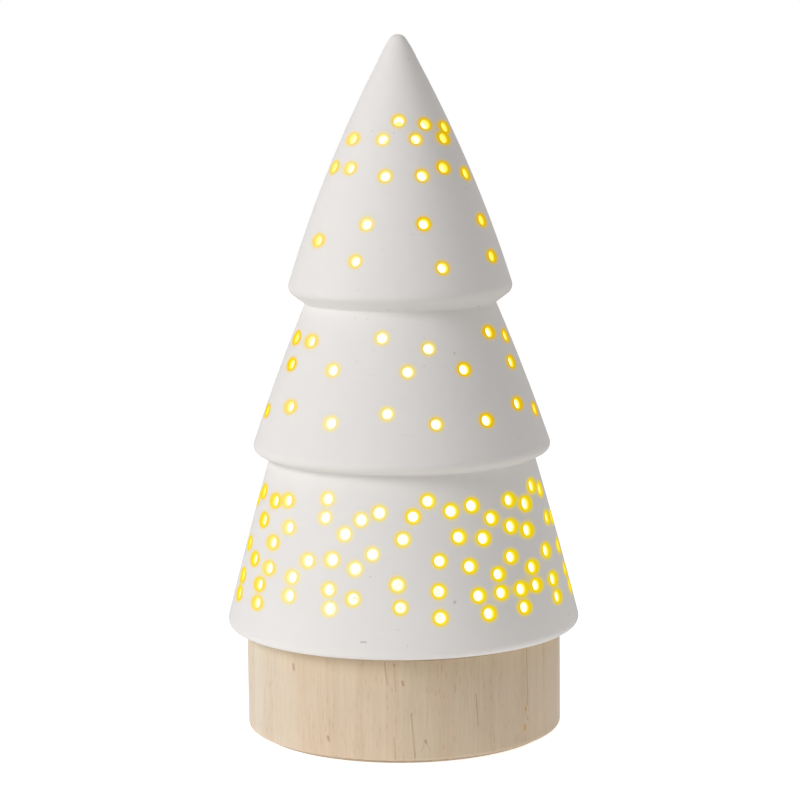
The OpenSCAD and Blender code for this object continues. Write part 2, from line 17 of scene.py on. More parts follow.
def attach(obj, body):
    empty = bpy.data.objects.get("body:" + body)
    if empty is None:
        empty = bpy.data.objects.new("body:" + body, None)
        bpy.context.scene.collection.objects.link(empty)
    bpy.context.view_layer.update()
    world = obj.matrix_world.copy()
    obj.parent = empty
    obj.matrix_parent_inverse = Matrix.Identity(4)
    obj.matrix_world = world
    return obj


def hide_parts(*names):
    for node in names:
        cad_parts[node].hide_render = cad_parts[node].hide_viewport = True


MM = 0.001
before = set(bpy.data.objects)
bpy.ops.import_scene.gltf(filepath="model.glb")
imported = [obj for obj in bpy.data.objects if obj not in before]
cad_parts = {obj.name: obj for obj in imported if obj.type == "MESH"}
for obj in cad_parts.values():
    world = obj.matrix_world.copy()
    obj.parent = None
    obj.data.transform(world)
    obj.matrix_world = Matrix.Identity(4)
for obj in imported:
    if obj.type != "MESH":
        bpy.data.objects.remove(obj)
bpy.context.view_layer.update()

# %% [markdown]
# ## The camera
# The photograph looks at the tree from about 74 cm away and 20 cm above the table, almost level.
# The camera could be aimed at the tree with a constraint, but plain angles say more:
# 7.9 degrees down, and a slight roll, because the tree leans a little in the picture.

# %% Camera
camera_place = (0, -740, 198)
camera_pitch = 7.88
camera_roll = -0.57
camera_yaw = 0.03
sensor_width = 36
focal_pixels = 2592.5
picture_width = 800


def new_object(name, data):
    """A new object in the scene, at the origin."""
    made = bpy.data.objects.new(name, data)
    bpy.context.scene.collection.objects.link(made)
    return made


camera = new_object("camera", bpy.data.cameras.new("camera"))
camera.data.sensor_width = sensor_width
camera.data.lens = focal_pixels * sensor_width / picture_width
camera.data.clip_start = 0.01
turn = Matrix.Identity(4)
for angle, axis in ((camera_yaw, "Z"), (90 - camera_pitch, "X"), (camera_roll, "Z")):
    turn = turn @ Matrix.Rotation(math.radians(angle), 4, axis)
camera.matrix_world = Matrix.Translation(Vector(camera_place) * MM) @ turn
bpy.context.scene.camera = camera
bpy.context.scene.view_settings.view_transform = "Standard"
print("lens", round(camera.data.lens, 1), "mm")

# %% [markdown]
# ## Writing node trees
# Each finish below is a tree of shader nodes. They could be dragged together by hand in the
# shader editor, but code can be read and repeated. A small class wraps a tree, and each of its
# calls adds one step: a value that is itself a socket is linked, and any other value is set.

# %% Helpers for shader nodes
class Nodes:
    """A tree of shader nodes. A call adds one step and gives the socket that it ends in."""

    def __init__(self, tree):
        self.tree = tree

    def fill(self, socket, value):
        """Links a socket to another one, or sets it."""
        if isinstance(value, bpy.types.NodeSocket):
            self.tree.links.new(value, socket)
        else:
            socket.default_value = value

    def node(self, kind, sockets, **settings):
        """Adds a node, makes its own settings, fills its inputs and gives its outputs."""
        made = self.tree.nodes.new("ShaderNode" + kind)
        for name, value in settings.items():
            setattr(made, name, value)
        for name, value in sockets.items():
            self.fill(made.inputs[name], value)
        return made.outputs

    def maths(self, operation, *values):
        """One step of arithmetic on numbers or sockets."""
        return self.node("Math", dict(enumerate(values)), operation=operation)["Value"]

    def vectors(self, operation, first, second=(0, 0, 0)):
        """One step on vectors. It gives a vector, or for a length or a product a number."""
        found = self.node("VectorMath", {0: first, 1: second}, operation=operation)
        return found["Value" if operation in ("LENGTH", "DISTANCE", "DOT_PRODUCT") else "Vector"]

    def fade(self, value, start, end, low=0.0, high=1.0, way="LINEAR"):
        """Maps start to low and end to high, and stays there beyond."""
        ends = {"Value": value, "From Min": start, "From Max": end, "To Min": low, "To Max": high}
        return self.node("MapRange", ends, interpolation_type=way)["Result"]

    def noise(self, place, scale, detail, roughness=0.5):
        """Soft random tones about 0.5, finer as the scale grows."""
        sockets = {"Vector": place, "Scale": scale, "Detail": detail, "Roughness": roughness}
        return self.node("TexNoise", sockets)["Fac"]

    def spots(self, place, scale):
        """Distance from the nearest of many scattered points."""
        return self.node("TexVoronoi", {"Vector": place, "Scale": scale})["Distance"]

    def waves(self, place, scale, distortion, way):
        """Even bands across a way, bent a little by the distortion."""
        sockets = {"Vector": place, "Scale": scale, "Distortion": distortion}
        return self.node("TexWave", sockets, bands_direction=way)["Fac"]

    def ramp(self, factor, *stops):
        """A colour ramp from (position, colour) stops. A single number stands for a grey."""
        made = self.tree.nodes.new("ShaderNodeValToRGB")
        self.fill(made.inputs["Fac"], factor)
        elements = made.color_ramp.elements
        while len(elements) < len(stops):
            elements.new(0.5)
        for element, (position, colour) in zip(elements, stops):
            element.position = position
            element.color = (*colour, 1) if isinstance(colour, tuple) else (colour, colour, colour, 1)
        return made.outputs["Color"]

    def blend(self, factor, first, second, mode="MIX"):
        """Mixes two colours by a factor."""
        values = {0: factor, 6: first, 7: second}
        sockets = {place: (*v, 1) if isinstance(v, tuple) else v for place, v in values.items()}
        return self.node("Mix", sockets, data_type="RGBA", blend_type=mode)[2]

    def grey(self, value):
        """The grey of a number."""
        return self.node("CombineColor", {"Red": value, "Green": value, "Blue": value})["Color"]

    def shaded(self, colour, shade):
        """A colour times a number that changes over the surface."""
        return self.blend(1.0, colour, self.grey(shade), "MULTIPLY")

    def shown_to_camera(self):
        """1 for what is seen directly, in a gloss or through glass, and 0 for what gives light."""
        rays = self.node("LightPath", {})
        shown = self.maths("MAXIMUM", rays["Is Camera Ray"], rays["Is Glossy Ray"])
        return self.maths("MAXIMUM", shown, rays["Is Transmission Ray"])


# %% [markdown]
# ## Effects that several finishes share
# Four effects come back on many pieces, so each is built once as a node group with named
# sockets: fine grit for anything matte, slow clouding for the unevenness that no real surface
# lacks, scattered patches for dust, scuffs and wear, and a mark between two given places for
# specks, knots and cracks. They could be copied from finish to finish, but then a correction to
# one would miss the others. A group only puts out masks and heights. The shader itself stays in
# each material, where an export can read it.

# %% Node groups
def new_group(name, inputs, outputs):
    """A node group. An input that starts as None is a vector, and all others are numbers."""
    group = bpy.data.node_groups.new(name, "ShaderNodeTree")
    for socket, start in inputs.items():
        kind = "NodeSocketVector" if start is None else "NodeSocketFloat"
        made = group.interface.new_socket(socket, in_out="INPUT", socket_type=kind)
        if start is not None:
            made.default_value = start
    for socket in outputs:
        group.interface.new_socket(socket, in_out="OUTPUT", socket_type="NodeSocketFloat")
    given = group.nodes.new("NodeGroupInput").outputs
    return Nodes(group), given, group.nodes.new("NodeGroupOutput").inputs


grit, given, out = new_group("fine_grit", {"Place": None, "Grains per mm": 3.0}, ["Height", "Shade"])
coarse = grit.noise(given["Place"], given["Grains per mm"], 3.0)
pits = grit.spots(given["Place"], grit.maths("MULTIPLY", given["Grains per mm"], 2.7))
grit.fill(out["Height"], grit.maths("ADD", coarse, grit.maths("MULTIPLY", pits, 0.4)))
grit.fill(out["Shade"], coarse)

cloud_sockets = {"Place": None, "Size in mm": 20.0, "Contrast": 0.05}
clouding, given, out = new_group("slow_clouding", cloud_sockets, ["Shade"])
cloud = clouding.noise(given["Place"], clouding.maths("DIVIDE", 1.0, given["Size in mm"]), 2.0)
centred = clouding.maths("SUBTRACT", cloud, 0.5)
clouding.fill(out["Shade"], clouding.maths("MULTIPLY_ADD", centred, given["Contrast"], 1.0))

patch_sockets = {
    "Place": None, "Per mm": 1.0, "Detail": 5.0, "Fineness": 0.7,
    "Start": 0.55, "Full": 0.75, "Strength": 0.3,
}
patching, given, out = new_group("scattered_patches", patch_sockets, ["Mask", "Shade"])
uneven = patching.noise(given["Place"], given["Per mm"], given["Detail"], given["Fineness"])
patching.fill(out["Mask"], patching.fade(uneven, given["Start"], given["Full"], 0.0, given["Strength"]))
patching.fill(out["Shade"], uneven)

mark_sockets = {"Place": None, "From": None, "To": None, "Width": 1.0}
marking, given, out = new_group("mark_between", mark_sockets, ["Mask"])
run = marking.vectors("SUBTRACT", given["To"], given["From"])
away = marking.vectors("SUBTRACT", given["Place"], given["From"])
run_squared = marking.maths("MAXIMUM", marking.vectors("DOT_PRODUCT", run, run), 0.0001)
share = marking.maths("DIVIDE", marking.vectors("DOT_PRODUCT", away, run), run_squared)
share = marking.node("Clamp", {"Value": share})["Result"]
nearest = marking.node("VectorMath", {0: run, "Scale": share}, operation="SCALE")["Vector"]
gap = marking.vectors("DISTANCE", away, nearest)
core = marking.maths("MULTIPLY", given["Width"], 0.3)
marking.fill(out["Mask"], marking.fade(gap, given["Width"], core, way="SMOOTHSTEP"))
print("groups:", [g.name for g in bpy.data.node_groups])

# %% [markdown]
# A finish is then a tree of its own with a Principled shader, on which constants go straight.
# Patterns could follow a UV map, but a turned or cast piece has none that is worth the work.
# So every pattern here is solid, laid out by the place on the object in millimetres.

# %% A finish
class Finish(Nodes):
    """A material with a Principled shader, and the steps that only a surface needs."""

    def __init__(self, name, roughness, **sockets):
        self.material = bpy.data.materials.new(name)
        self.material.use_nodes = True
        super().__init__(self.material.node_tree)
        self.shader = self.tree.nodes["Principled BSDF"]
        self.put(Roughness=roughness, **sockets)
        self.place = self.squeezed(1, 1, 1)

    def put(self, **sockets):
        """Fills sockets of the shader."""
        for name, value in sockets.items():
            self.fill(self.shader.inputs[name.replace("_", " ")], value)

    def squeezed(self, *squeeze):
        """The place in millimetres, squeezed along each axis so that patterns stretch there."""
        sockets = {"Vector": self.node("TexCoord", {})["Object"], "Scale": tuple(s / MM for s in squeeze)}
        return self.node("Mapping", sockets)["Vector"]

    def along(self, axis):
        """The place along one axis in mm."""
        return self.node("SeparateXYZ", {"Vector": self.place})[axis]

    def grit(self, grains):
        """Fine grit: its Height and its Shade."""
        sockets = {"Place": self.place, "Grains per mm": grains}
        return self.node("Group", sockets, node_tree=grit.tree)

    def clouded(self, colour, size, contrast):
        """A colour with slow clouds of a size in mm."""
        return self.shaded(colour, self.cloud(size, contrast))

    def cloud(self, size, contrast):
        """Slow clouds of a size in mm, as a number about 1."""
        sockets = {"Place": self.place, "Size in mm": size, "Contrast": contrast}
        return self.node("Group", sockets, node_tree=clouding.tree)["Shade"]

    def patches(self, place, per_mm, start, full, strength, detail=5.0, fineness=0.7):
        """Patches as high as strength, where a noise rises from start to full, and the noise itself."""
        sockets = {"Place": place, "Per mm": per_mm, "Detail": detail, "Fineness": fineness}
        sockets |= {"Start": start, "Full": full, "Strength": strength}
        made = self.node("Group", sockets, node_tree=patching.tree)
        return made["Mask"], made["Shade"]

    def mark(self, start, end, width, strength):
        """A mask of one mark between two places."""
        sockets = {"Place": self.place, "From": start, "To": end, "Width": width}
        return self.maths("MULTIPLY", self.node("Group", sockets, node_tree=marking.tree)["Mask"], strength)

    def relief(self, height, strength, depth):
        """Relief of a depth in mm, which only bends the light."""
        sockets = {"Height": height, "Strength": strength, "Distance": depth * MM}
        self.put(Normal=self.node("Bump", sockets)["Normal"])

    def glow(self, colour):
        """Light of the surface's own."""
        self.put(Emission_Color=colour, Emission_Strength=1.0)


# %% [markdown]
# ## The light in the room
# The photograph is a studio picture: a large soft lamp to the left and a little in front,
# a bright room all round, and a white table that throws light back up under the rims.
# The table is a sheet of white acrylic with a lamp under it, so it glows where the tree stands.
# The white of the background is only what the camera sees of the world and the table,
# so the object itself is lit at a plain level and its pale ceramic doesn't burn out.
# From below the table is clear, so that the underside of the base can be looked at too.

# %% World and key lamp
room_level = 0.405
room_warmth = (1.0, 0.986, 0.966)
brighter_right = 0.82
darker_in_front = 0.3
key_bearing, key_height = -57, 28
key_distance = 1300
key_size = 700
key_power = 10.7
key_colour = (1.0, 0.995, 0.995)
tree_middle = Vector((0, 0, 100)) * MM

world = bpy.data.worlds.new("room")
bpy.context.scene.world = world
world.use_nodes = True
room = Nodes(world.node_tree)
toward_sky = room.node("SeparateXYZ", {"Vector": room.node("TexCoord", {})["Generated"]})
shade = room.maths("MULTIPLY_ADD", toward_sky["X"], brighter_right, 1.0)
in_front = room.maths("MINIMUM", toward_sky["Y"], 0.0)
shade = room.maths("MULTIPLY_ADD", in_front, darker_in_front, shade)
lit = room.shaded(tuple(room_level * c for c in room_warmth), shade)
level = room.blend(room.shown_to_camera(), lit, (1.0, 1.0, 1.0))
room.fill(room.tree.nodes["Background"].inputs["Color"], level)


def toward(bearing, height):
    """Unit vector from the tree towards a bearing (0 is the front, + the right) and height."""
    b, h = math.radians(bearing), math.radians(height)
    return Vector((math.sin(b) * math.cos(h), -math.cos(b) * math.cos(h), math.sin(h)))


key = new_object("key_lamp", bpy.data.lights.new("key_lamp", "AREA"))
key.data.shape = "DISK"
key.data.size = key_size * MM
key.data.energy = key_power
key.data.color = key_colour
key.location = tree_middle + toward(key_bearing, key_height) * key_distance * MM
key.rotation_euler = (tree_middle - key.location).to_track_quat("-Z", "Y").to_euler()
print("key lamp at", [round(v, 2) for v in key.location])

# %% Table
table_half = 3000
# A hair below the felt, so that the two faces never lie in one plane
table_z = -0.05
table_white = 0.8
table_lift = 0.72
glow_near, glow_far = 0.5, 0.09
glow_edge, glow_end = 55, 200


def white_table():
    """A pale table whose own white, as the camera sees it, is lifted to the background's."""
    f = Finish("white_table", 0.9, Specular_IOR_Level=0.0)
    f.put(Base_Color=f.clouded((table_white,) * 3, 40.0, 0.01))
    from_tree = f.vectors("LENGTH", f.place)
    pool = f.fade(from_tree, glow_edge, glow_end, glow_near, glow_far, way="SMOOTHSTEP")
    f.glow(f.blend(f.shown_to_camera(), f.grey(pool), (table_lift,) * 3))
    from_below = f.node("NewGeometry", {})["Backfacing"]
    clear = f.node("BsdfTransparent", {})["BSDF"]
    surface = f.node("MixShader", {0: from_below, 1: f.shader.outputs["BSDF"], 2: clear})["Shader"]
    f.fill(f.tree.nodes["Material Output"].inputs["Surface"], surface)
    return f.material


signs = [(-1, -1), (1, -1), (1, 1), (-1, 1)]
corners = [(x * table_half * MM, y * table_half * MM, table_z * MM) for x, y in signs]
table_mesh = bpy.data.meshes.new("table")
table_mesh.from_pydata(corners, [], [(0, 1, 2, 3)])
table_mesh.materials.append(white_table())
table = new_object("table", table_mesh)
print("table", 2 * table_half * MM, "m wide")

# %% [markdown]
# ## The bisque
# Unglazed white ceramic is dead matte, very slightly warm, and never quite even: the cast
# surface has a fine tooth, soft clouds of tone, a few dark specks and faint scuffs.
# Round each hole the light bleeds through the thin edge, so the clay glows yellow there.
# That glow could be real light scattering inside the clay, but it would be slow and noisy.
# Instead the mesh below stores how far each point lies from the edge of its hole, and the
# finish turns that distance into colour: golden at the lip, pale deeper in, white inside.

# %% Colours of the glow by depth
# The two ends of the glow ramps: mm inside the edge of a hole and outside it
glow_from, glow_to = -2.4, 1.6
# How much of the painted glow at the edge is left at a distance outwards from the edge
halo_fade = [(0.0, 1.0), (0.2, 0.82), (0.42, 0.5), (0.66, 0.24), (0.92, 0.09), (1.25, 0.0)]
# Golden edges low down, golden edges high up, and pale edges where the glow is painted washed out.
# Each has the painted glow tint of the clay at the edge, the light that comes out there, and the
# light deeper in the hole
low_hole = (0.53, 0.29, 0.0), (0.57, 0.48, 0.0), [
    (-1.8, (1.0, 1.0, 1.0)), (-1.5, (1.0, 0.98, 0.78)), (-1.15, (1.0, 0.93, 0.34)),
    (-0.8, (0.86, 0.78, 0.12)), (-0.4, (0.66, 0.56, 0.01)),
]
high_hole = (0.72, 0.52, 0.0), (0.41, 0.24, 0.0), [
    (-2.0, (1.0, 1.0, 1.0)), (-1.6, (1.0, 0.96, 0.6)), (-1.2, (1.0, 0.9, 0.26)),
    (-0.8, (0.8, 0.64, 0.1)), (-0.4, (0.55, 0.36, 0.01)),
]
pale_hole = (0.85, 0.76, 0.46), (0.28, 0.24, 0.02), [
    (-2.0, (1.0, 1.0, 1.0)), (-1.6, (1.0, 0.98, 0.86)), (-1.2, (0.96, 0.9, 0.6)),
    (-0.8, (0.6, 0.56, 0.28)), (-0.4, (0.42, 0.37, 0.1)),
]
# Heights between which the low glow turns into the high one
low_glow_top, high_glow_foot = 76.0, 92.0


def glow_tint_stops(tint, light, inside):
    """How the glow is painted into the clay's colour by depth: fully at the edge and inside it, and fading
    outwards.
    """
    return [(depth, tuple(1 - left * (1 - t) for t in tint)) for depth, left in halo_fade]


def light_stops(tint, light, inside):
    """Light that comes out of the clay by depth, from white deep in the hole to none outside."""
    return inside + [(depth, tuple(left * v for v in light)) for depth, left in halo_fade]


print("glow reaches", halo_fade[-1][0], "mm out from the edge of a hole")

# %% Bisque finish
clay_white = (0.815, 0.795, 0.778)
# Specks on the real piece: bearing, height, radius, size in mm, and for how many degrees the
# mark runs on level
bisque_specks = [
    (-6.6, 124.8, 28.0, 0.55, 0), (52.9, 124.2, 27.6, 0.5, 0), (27.5, 112.4, 32.1, 0.45, 0),
    (17.2, 45.9, 47.5, 0.7, 0), (7.6, 179.6, 10.2, 0.4, 0), (69.8, 35.7, 50.1, 0.5, 0),
    (-13.4, 35.8, 50.1, 0.42, 1.5),
]


def on_wall(bearing, height, radius):
    """A place on a round wall as a plain triple in mm."""
    b = math.radians(bearing)
    return (radius * math.sin(b), -radius * math.cos(b), height)


def bare_clay(f):
    """Tone of the clay itself: clouds, faint level scuffs, pin specks and larger specks."""
    tone = f.maths("MULTIPLY", f.cloud(26.0, 0.05), f.cloud(5.0, 0.025))
    clay = f.shaded(clay_white, tone)
    scuffs = f.patches(f.squeezed(0.05, 0.05, 0.6), 2.2, 0.62, 0.74, 0.16)[0]
    clay = f.blend(scuffs, clay, (0.55, 0.53, 0.51))
    pins = f.ramp(f.spots(f.place, 0.16), (0.02, 0.45), (0.045, 0.0))
    clay = f.blend(pins, clay, (0.42, 0.4, 0.38))
    for bearing, height, radius, size, run in bisque_specks:
        ends = on_wall(bearing, height, radius), on_wall(bearing + run, height, radius)
        clay = f.blend(f.mark(*ends, size, 0.5), clay, (0.4, 0.39, 0.37))
    return clay


def bisque():
    f = Finish("bisque", 0.88, Specular_IOR_Level=0.06)
    depth = f.node("Attribute", {}, attribute_name="hole_depth")["Fac"]
    washed = f.node("Attribute", {}, attribute_name="washed_out")["Fac"]
    share = f.fade(depth, glow_from, glow_to)
    high = f.fade(f.along("Z"), low_glow_top, high_glow_foot)

    def by_depth(stops):
        return f.ramp(share, *[((d - glow_from) / (glow_to - glow_from), c) for d, c in stops])

    def by_hole(stops):
        golden = f.blend(high, by_depth(stops(*low_hole)), by_depth(stops(*high_hole)))
        return f.blend(washed, golden, by_depth(stops(*pale_hole)))

    # The clay's own colour, tinted by the painted glow round each hole
    f.put(Base_Color=f.blend(1.0, bare_clay(f), by_hole(glow_tint_stops), "MULTIPLY"))
    f.glow(by_hole(light_stops))
    lumps = f.noise(f.place, 0.16, 2.0)
    f.relief(f.maths("MULTIPLY_ADD", lumps, 6.0, f.grit(2.2)["Height"]), 0.35, 0.03)
    return f.material


bisque_finish = bisque()
print("bisque has", len(bisque_finish.node_tree.nodes), "nodes")

# %% [markdown]
# ## The profile of the tree
# The tree is cast in a mould with three conical tiers. Each tier's wall bows out a little,
# rolls under at its rim, and runs in to the neck of the tier below.
# It could be sculpted, but it is round but for its holes, and a lathe profile describes all of
# that in a few sizes. So the driving sizes of the profile come first.

# %% Tiers
tip_z = 200
tip_round = 2.8
wall_w = 3.9
floor_t = 4
mouth_r = 30.6
seat_r = 44.5
seat_z = 29.9
# How far the straight line of the top tier runs past the rounded tip
apex_past_tip = 3.1


class Tier:
    """One conical tier: top and rim as (radius, height), and the band that holds its holes."""

    def __init__(self, top, rim, bow, rim_round, lean, turn, band, throat, lip):
        self.top, self.rim = top, rim
        self.bow, self.rim_round = bow, rim_round
        self.lean, self.turn = math.radians(lean), math.radians(turn)
        self.band = band
        self.throat, self.lip = throat, lip
        self.end = self.rim_point(self.lean)

    def rim_point(self, angle):
        """Point of the rounded rim at an angle above the level."""
        out = self.rim_round * (1 - math.cos(angle))
        return (self.rim[0] - out, self.rim[1] + self.rim_round * math.sin(angle))

    def down(self, share):
        """Height at a share of the way down the wall."""
        return self.top[1] - share * (self.top[1] - self.end[1])

    def wall_r(self, z):
        """Radius of the outer wall at a height."""
        t = (self.top[1] - z) / (self.top[1] - self.end[1])
        straight = self.top[0] + (self.end[0] - self.top[0]) * t
        return straight + 4 * self.bow * t * (1 - t)

    def wall(self, z, inset=0.0):
        """Point of the profile on the wall at a height."""
        return (self.wall_r(z) - inset, z)

    def slope(self, z):
        """How much the radius shrinks for each millimetre up."""
        return self.wall_r(z - 0.5) - self.wall_r(z + 0.5)


# Top, rim, bow, roundness of the rim with its first and last angle, band, and a hole's throat and lip
tiers = [
    Tier((0, tip_z + apex_past_tip), (32.1, 128.9), 2.3, 2.8, 17, 50, (132.4, 180.6), 1.25, 0.6),
    Tier((27.4, 124), (42.8, 83.2), 0.4, 2.3, 19, 66, (90, 121), 1.3, 0.6),
    Tier((38.2, 79.9), (50.9, 32.7), 0.2, 2.0, 14, 77, (38.2, 76.8), 1.36, 0.66),
]
top_tier, middle_tier, low_tier = tiers
for number, tier in enumerate(tiers, 1):
    lean = math.degrees(math.atan(tier.slope(sum(tier.band) / 2)))
    print("tier", number, "wall leans", round(lean, 1), "degrees")

# %% [markdown]
# ## The holes
# The holes are punched by hand in the damp clay, in loose rows, square to the wall.
# The photograph gives the front half: height, and bearing from the front. The back half is
# not seen, so it is the front half turned half way round, plus a few lone holes at the sides.
# Random places would be quicker, but the eye compares the rows, so each hole has its own place.

# %% Hole places
front_rows = [
    (176, [0]), (175, [31]), (174, [61]), (171, [-53, -16, 17, 51]), (163, [-68, -44, 39]),
    (161, [-11, 18, 66]), (148, [-21, 15, 64]), (143, [-56]), (138, [-25, 62]), (136, [23]),
    (117, [-10, 55]), (115, [-72, -54, 73]), (114, [14]), (108, [-66, -34, 3, 31, 67]),
    (97, [-55, -6, 59]), (94, [-78, -30, 14, 37, 76]),
    (73, [-31, 10, 66]), (71, [-76, -52, 28, 47, 75]), (70, [-61, -9, 19]), (69, [4, 57]),
    (68, [-84, -31, -16]), (67, [36]), (64, [-67, -48, -22, 45]), (63, [0, 21, 74]),
    (62, [31, 54, 83]), (59, [-56, -11]), (57, [-26, 13]), (56, [-78, -36, 42]),
    (55, [-17, 24, 64]), (54, [80]), (53, [-67]), (52, [-55, 35, 52]), (51, [-42, -2]),
    (49, [-26, 12]), (47, [-76, -59, -17, 26, 35, 44, 52, 64, 81]), (46, [-42]), (45, [-1]),
    (44, [-25]), (42, [-75, -58, 12, 29, 44, 64, 82]),
]
side_holes = [
    (96, 167), (-96, 169), (91, 152), (-92, 146), (98, 137), (96, 104), (-98, 103), (92, 59), (-93, 50),
]
both_halves = [(b + half, height) for height, row in front_rows for b in row for half in (0, 180)]
# Bearings from -180 up to 180
holes = [((b + 180) % 360 - 180, height) for b, height in both_halves + side_holes]
print(len(holes), "holes")

# %% [markdown]
# ## Meshing a pierced wall
# A pierced wall could be cut with a boolean, but 217 cuts leave ragged slivers that shade
# badly. Here the wall is unrolled flat instead, the way paper rolls off a cone, and filled with
# triangles that run exactly round each hole. Each hole then gets a rounded lip, a throat and
# an edge on the inner wall, joined ring to ring, so the whole skin is one closed surface.

# %% A growing skin
skin_points, skin_depth, skin_washed, skin_faces, skin_sharp = [], [], [], [], []
# Depths far outside every hole, beyond its glow, and far inside one: the whole inner wall and the floor
# inside get the painted glow of the lit hollow, white over a golden tint
FAR_OUT = 9.0
FAR_IN = -9.0


def add_points(points, depth, washed=0.0):
    """Adds points in mm with their depth from a hole's edge, and returns their numbers."""
    first = len(skin_points)
    points = np.asarray(points, float).reshape(-1, 3)
    skin_points.extend(map(tuple, points))
    skin_depth.extend(np.broadcast_to(depth, len(points)))
    skin_washed.extend(np.broadcast_to(washed, len(points)))
    return np.arange(first, len(skin_points))


def places(numbers):
    """Where the points with these numbers are."""
    return np.array([skin_points[i] for i in numbers])


def around(bearing, radius, height):
    """Points at bearings in degrees, a radius and a height."""
    b = np.radians(bearing)
    return np.stack([radius * np.sin(b), -radius * np.cos(b), height + 0 * b], -1)


def turned_ring(radius, height, count, depth):
    """A level ring of points round the axis."""
    return add_points(around(np.arange(count) * 360 / count - 180, radius, height), depth)


def ring_quads(first, second):
    """Faces between two rings of the same count, which look out when first is above second."""
    count = len(first)
    return [(first[j], second[j], second[(j + 1) % count], first[(j + 1) % count]) for j in range(count)]


def turned_strip(profile, count, depth, start=None, finish=None):
    """Rings along a profile of (radius, height), joined; start and finish are rings in place."""
    rings = [turned_ring(r, z, count, depth) for r, z in profile]
    rings = [ring for ring in (start, *rings, finish) if ring is not None]
    for first, second in zip(rings, rings[1:]):
        skin_faces.extend(ring_quads(first, second))
    return rings


def fillet(before, corner, after, radius, steps=3):
    """Points of a rounded corner in a profile."""
    before, corner, after = (np.array(p, float) for p in (before, corner, after))
    first = (before - corner) / np.linalg.norm(before - corner)
    second = (after - corner) / np.linalg.norm(after - corner)
    half = math.acos(float(np.clip(first @ second, -1, 1))) / 2
    reach = radius / math.tan(half)
    middle = (first + second) / np.linalg.norm(first + second)
    centre = corner + middle * radius / math.sin(half)
    points = []
    for t in np.linspace(0, 1, steps + 1):
        edge = corner + first * reach * (1 - t) + second * reach * t - centre
        points.append(tuple(centre + edge / np.linalg.norm(edge) * radius))
    return points


def ring_count(radius, spacing=1.1):
    """A round number of points for a ring, about spacing apart."""
    return 4 * round(2 * math.pi * radius / spacing / 4)


print("a ring round the widest rim has", ring_count(low_tier.rim[0]), "points")

# %% [markdown]
# Each hole has its own small frame: its centre on the wall, the wall's outward normal, and two
# directions along the wall. Points laid out in that frame slide along the normal until they
# meet the curved wall, so every ring lies exactly on the surface that it belongs to.

# %% Rings round a hole
ring_points = 20
ring_angles = np.arange(ring_points) * 2 * math.pi / ring_points
throat_spread, lip_spread = 0.03, 0.07
chance = np.random.default_rng(7)


def by_hand(size, spread):
    """A size as a hand makes it: a little more or less, by a share of up to twice the spread."""
    return size * (1 + float(np.clip(chance.normal(0, spread), -2 * spread, 2 * spread)))


def tier_of(height):
    """The tier whose wall a height falls on."""
    return next((tier for tier, below in zip(tiers, tiers[1:]) if height > below.top[1]), low_tier)


class Hole:
    """A punched hole: its place, its frame, and the rings that were made for it."""

    def __init__(self, bearing, height):
        self.bearing, self.height = bearing, height
        self.tier = tier_of(height)
        self.throat = by_hand(self.tier.throat, throat_spread)
        self.lip = by_hand(self.tier.lip, lip_spread)
        self.edge = self.throat + self.lip
        self.lean = math.atan(self.tier.slope(height))
        b = math.radians(bearing)
        upright = np.array([0, 0, 1])
        level_out = np.array([math.sin(b), -math.cos(b), 0])
        self.centre = level_out * self.tier.wall_r(height) + upright * height
        self.normal = level_out * math.cos(self.lean) + upright * math.sin(self.lean)
        self.across = np.array([math.cos(b), math.sin(b), 0])
        self.up = upright * math.cos(self.lean) - level_out * math.sin(self.lean)

    def circle(self, radius, angles=ring_angles, guess=0.0, inset=0.0):
        """Points at a radius from the hole's axis, moved along it to the wall."""
        flat = np.outer(np.cos(angles), self.across) + np.outer(np.sin(angles), self.up)
        points = self.centre + flat * radius + self.normal * guess
        for _ in range(8):
            miss = np.hypot(points[:, 0], points[:, 1]) - (self.tier.wall_r(points[:, 2]) - inset)
            points = points - np.outer(miss * math.cos(self.lean), self.normal)
        return points


# %% [markdown]
# How the glow reads depends on where the hole is. Low down the lamp is near, so the throat is
# white right behind the lip. Near the tip the throat stays yellow most of the way through.
# On the side that faces the studio lamp, daylight washes the yellow out, so the glow is painted
# paler there, and no two hand punched holes are quite alike, so each gets a small seeded difference.

# %% Glow of each hole
lip_steps = 4
throat_shares = (0.2, 0.5, 1.0)
# How far the painted glow is paled, as the studio lamp washes it out, at bearings from the left round to the
# right
daylight = {
    top_tier: ([-110, -60, -25, 0, 16, 30, 42], [0, 0.5, 0.7, 0.5, 0.15, 0.05, 0]),
    middle_tier: ([-68, -56, -48, -30, -12, 18, 30], [0, 0.35, 0.72, 0.95, 0.82, 0.45, 0]),
    low_tier: ([-68, -56, -48, -30, -12, 0, 14, 28], [0, 0.35, 0.72, 0.95, 0.82, 0.38, 0.1, 0]),
}
daylight_spread = 0.1


def throat_reach(hole):
    """How fast the throat turns white with depth: slower near the tip, and at its sides."""
    reach = np.interp(hole.height, [75, 117, 148], [3.6, 2.4, 1.6])
    if hole.tier is top_tier:
        reach *= np.interp(hole.bearing, [-90, -60, -30, -6, 6, 36], [0.2, 0.3, 0.7, 1.0, 1.0, 0.2])
    return float(reach)


def washed_by_daylight(hole):
    """0 where the painted glow is saturated, 1 where it is painted pale, as daylight from the left washes it
    out.
    """
    share = np.interp(hole.bearing, *daylight[hole.tier])
    return float(np.clip(share + chance.normal(0, daylight_spread) * (share > 0.05), 0, 1))


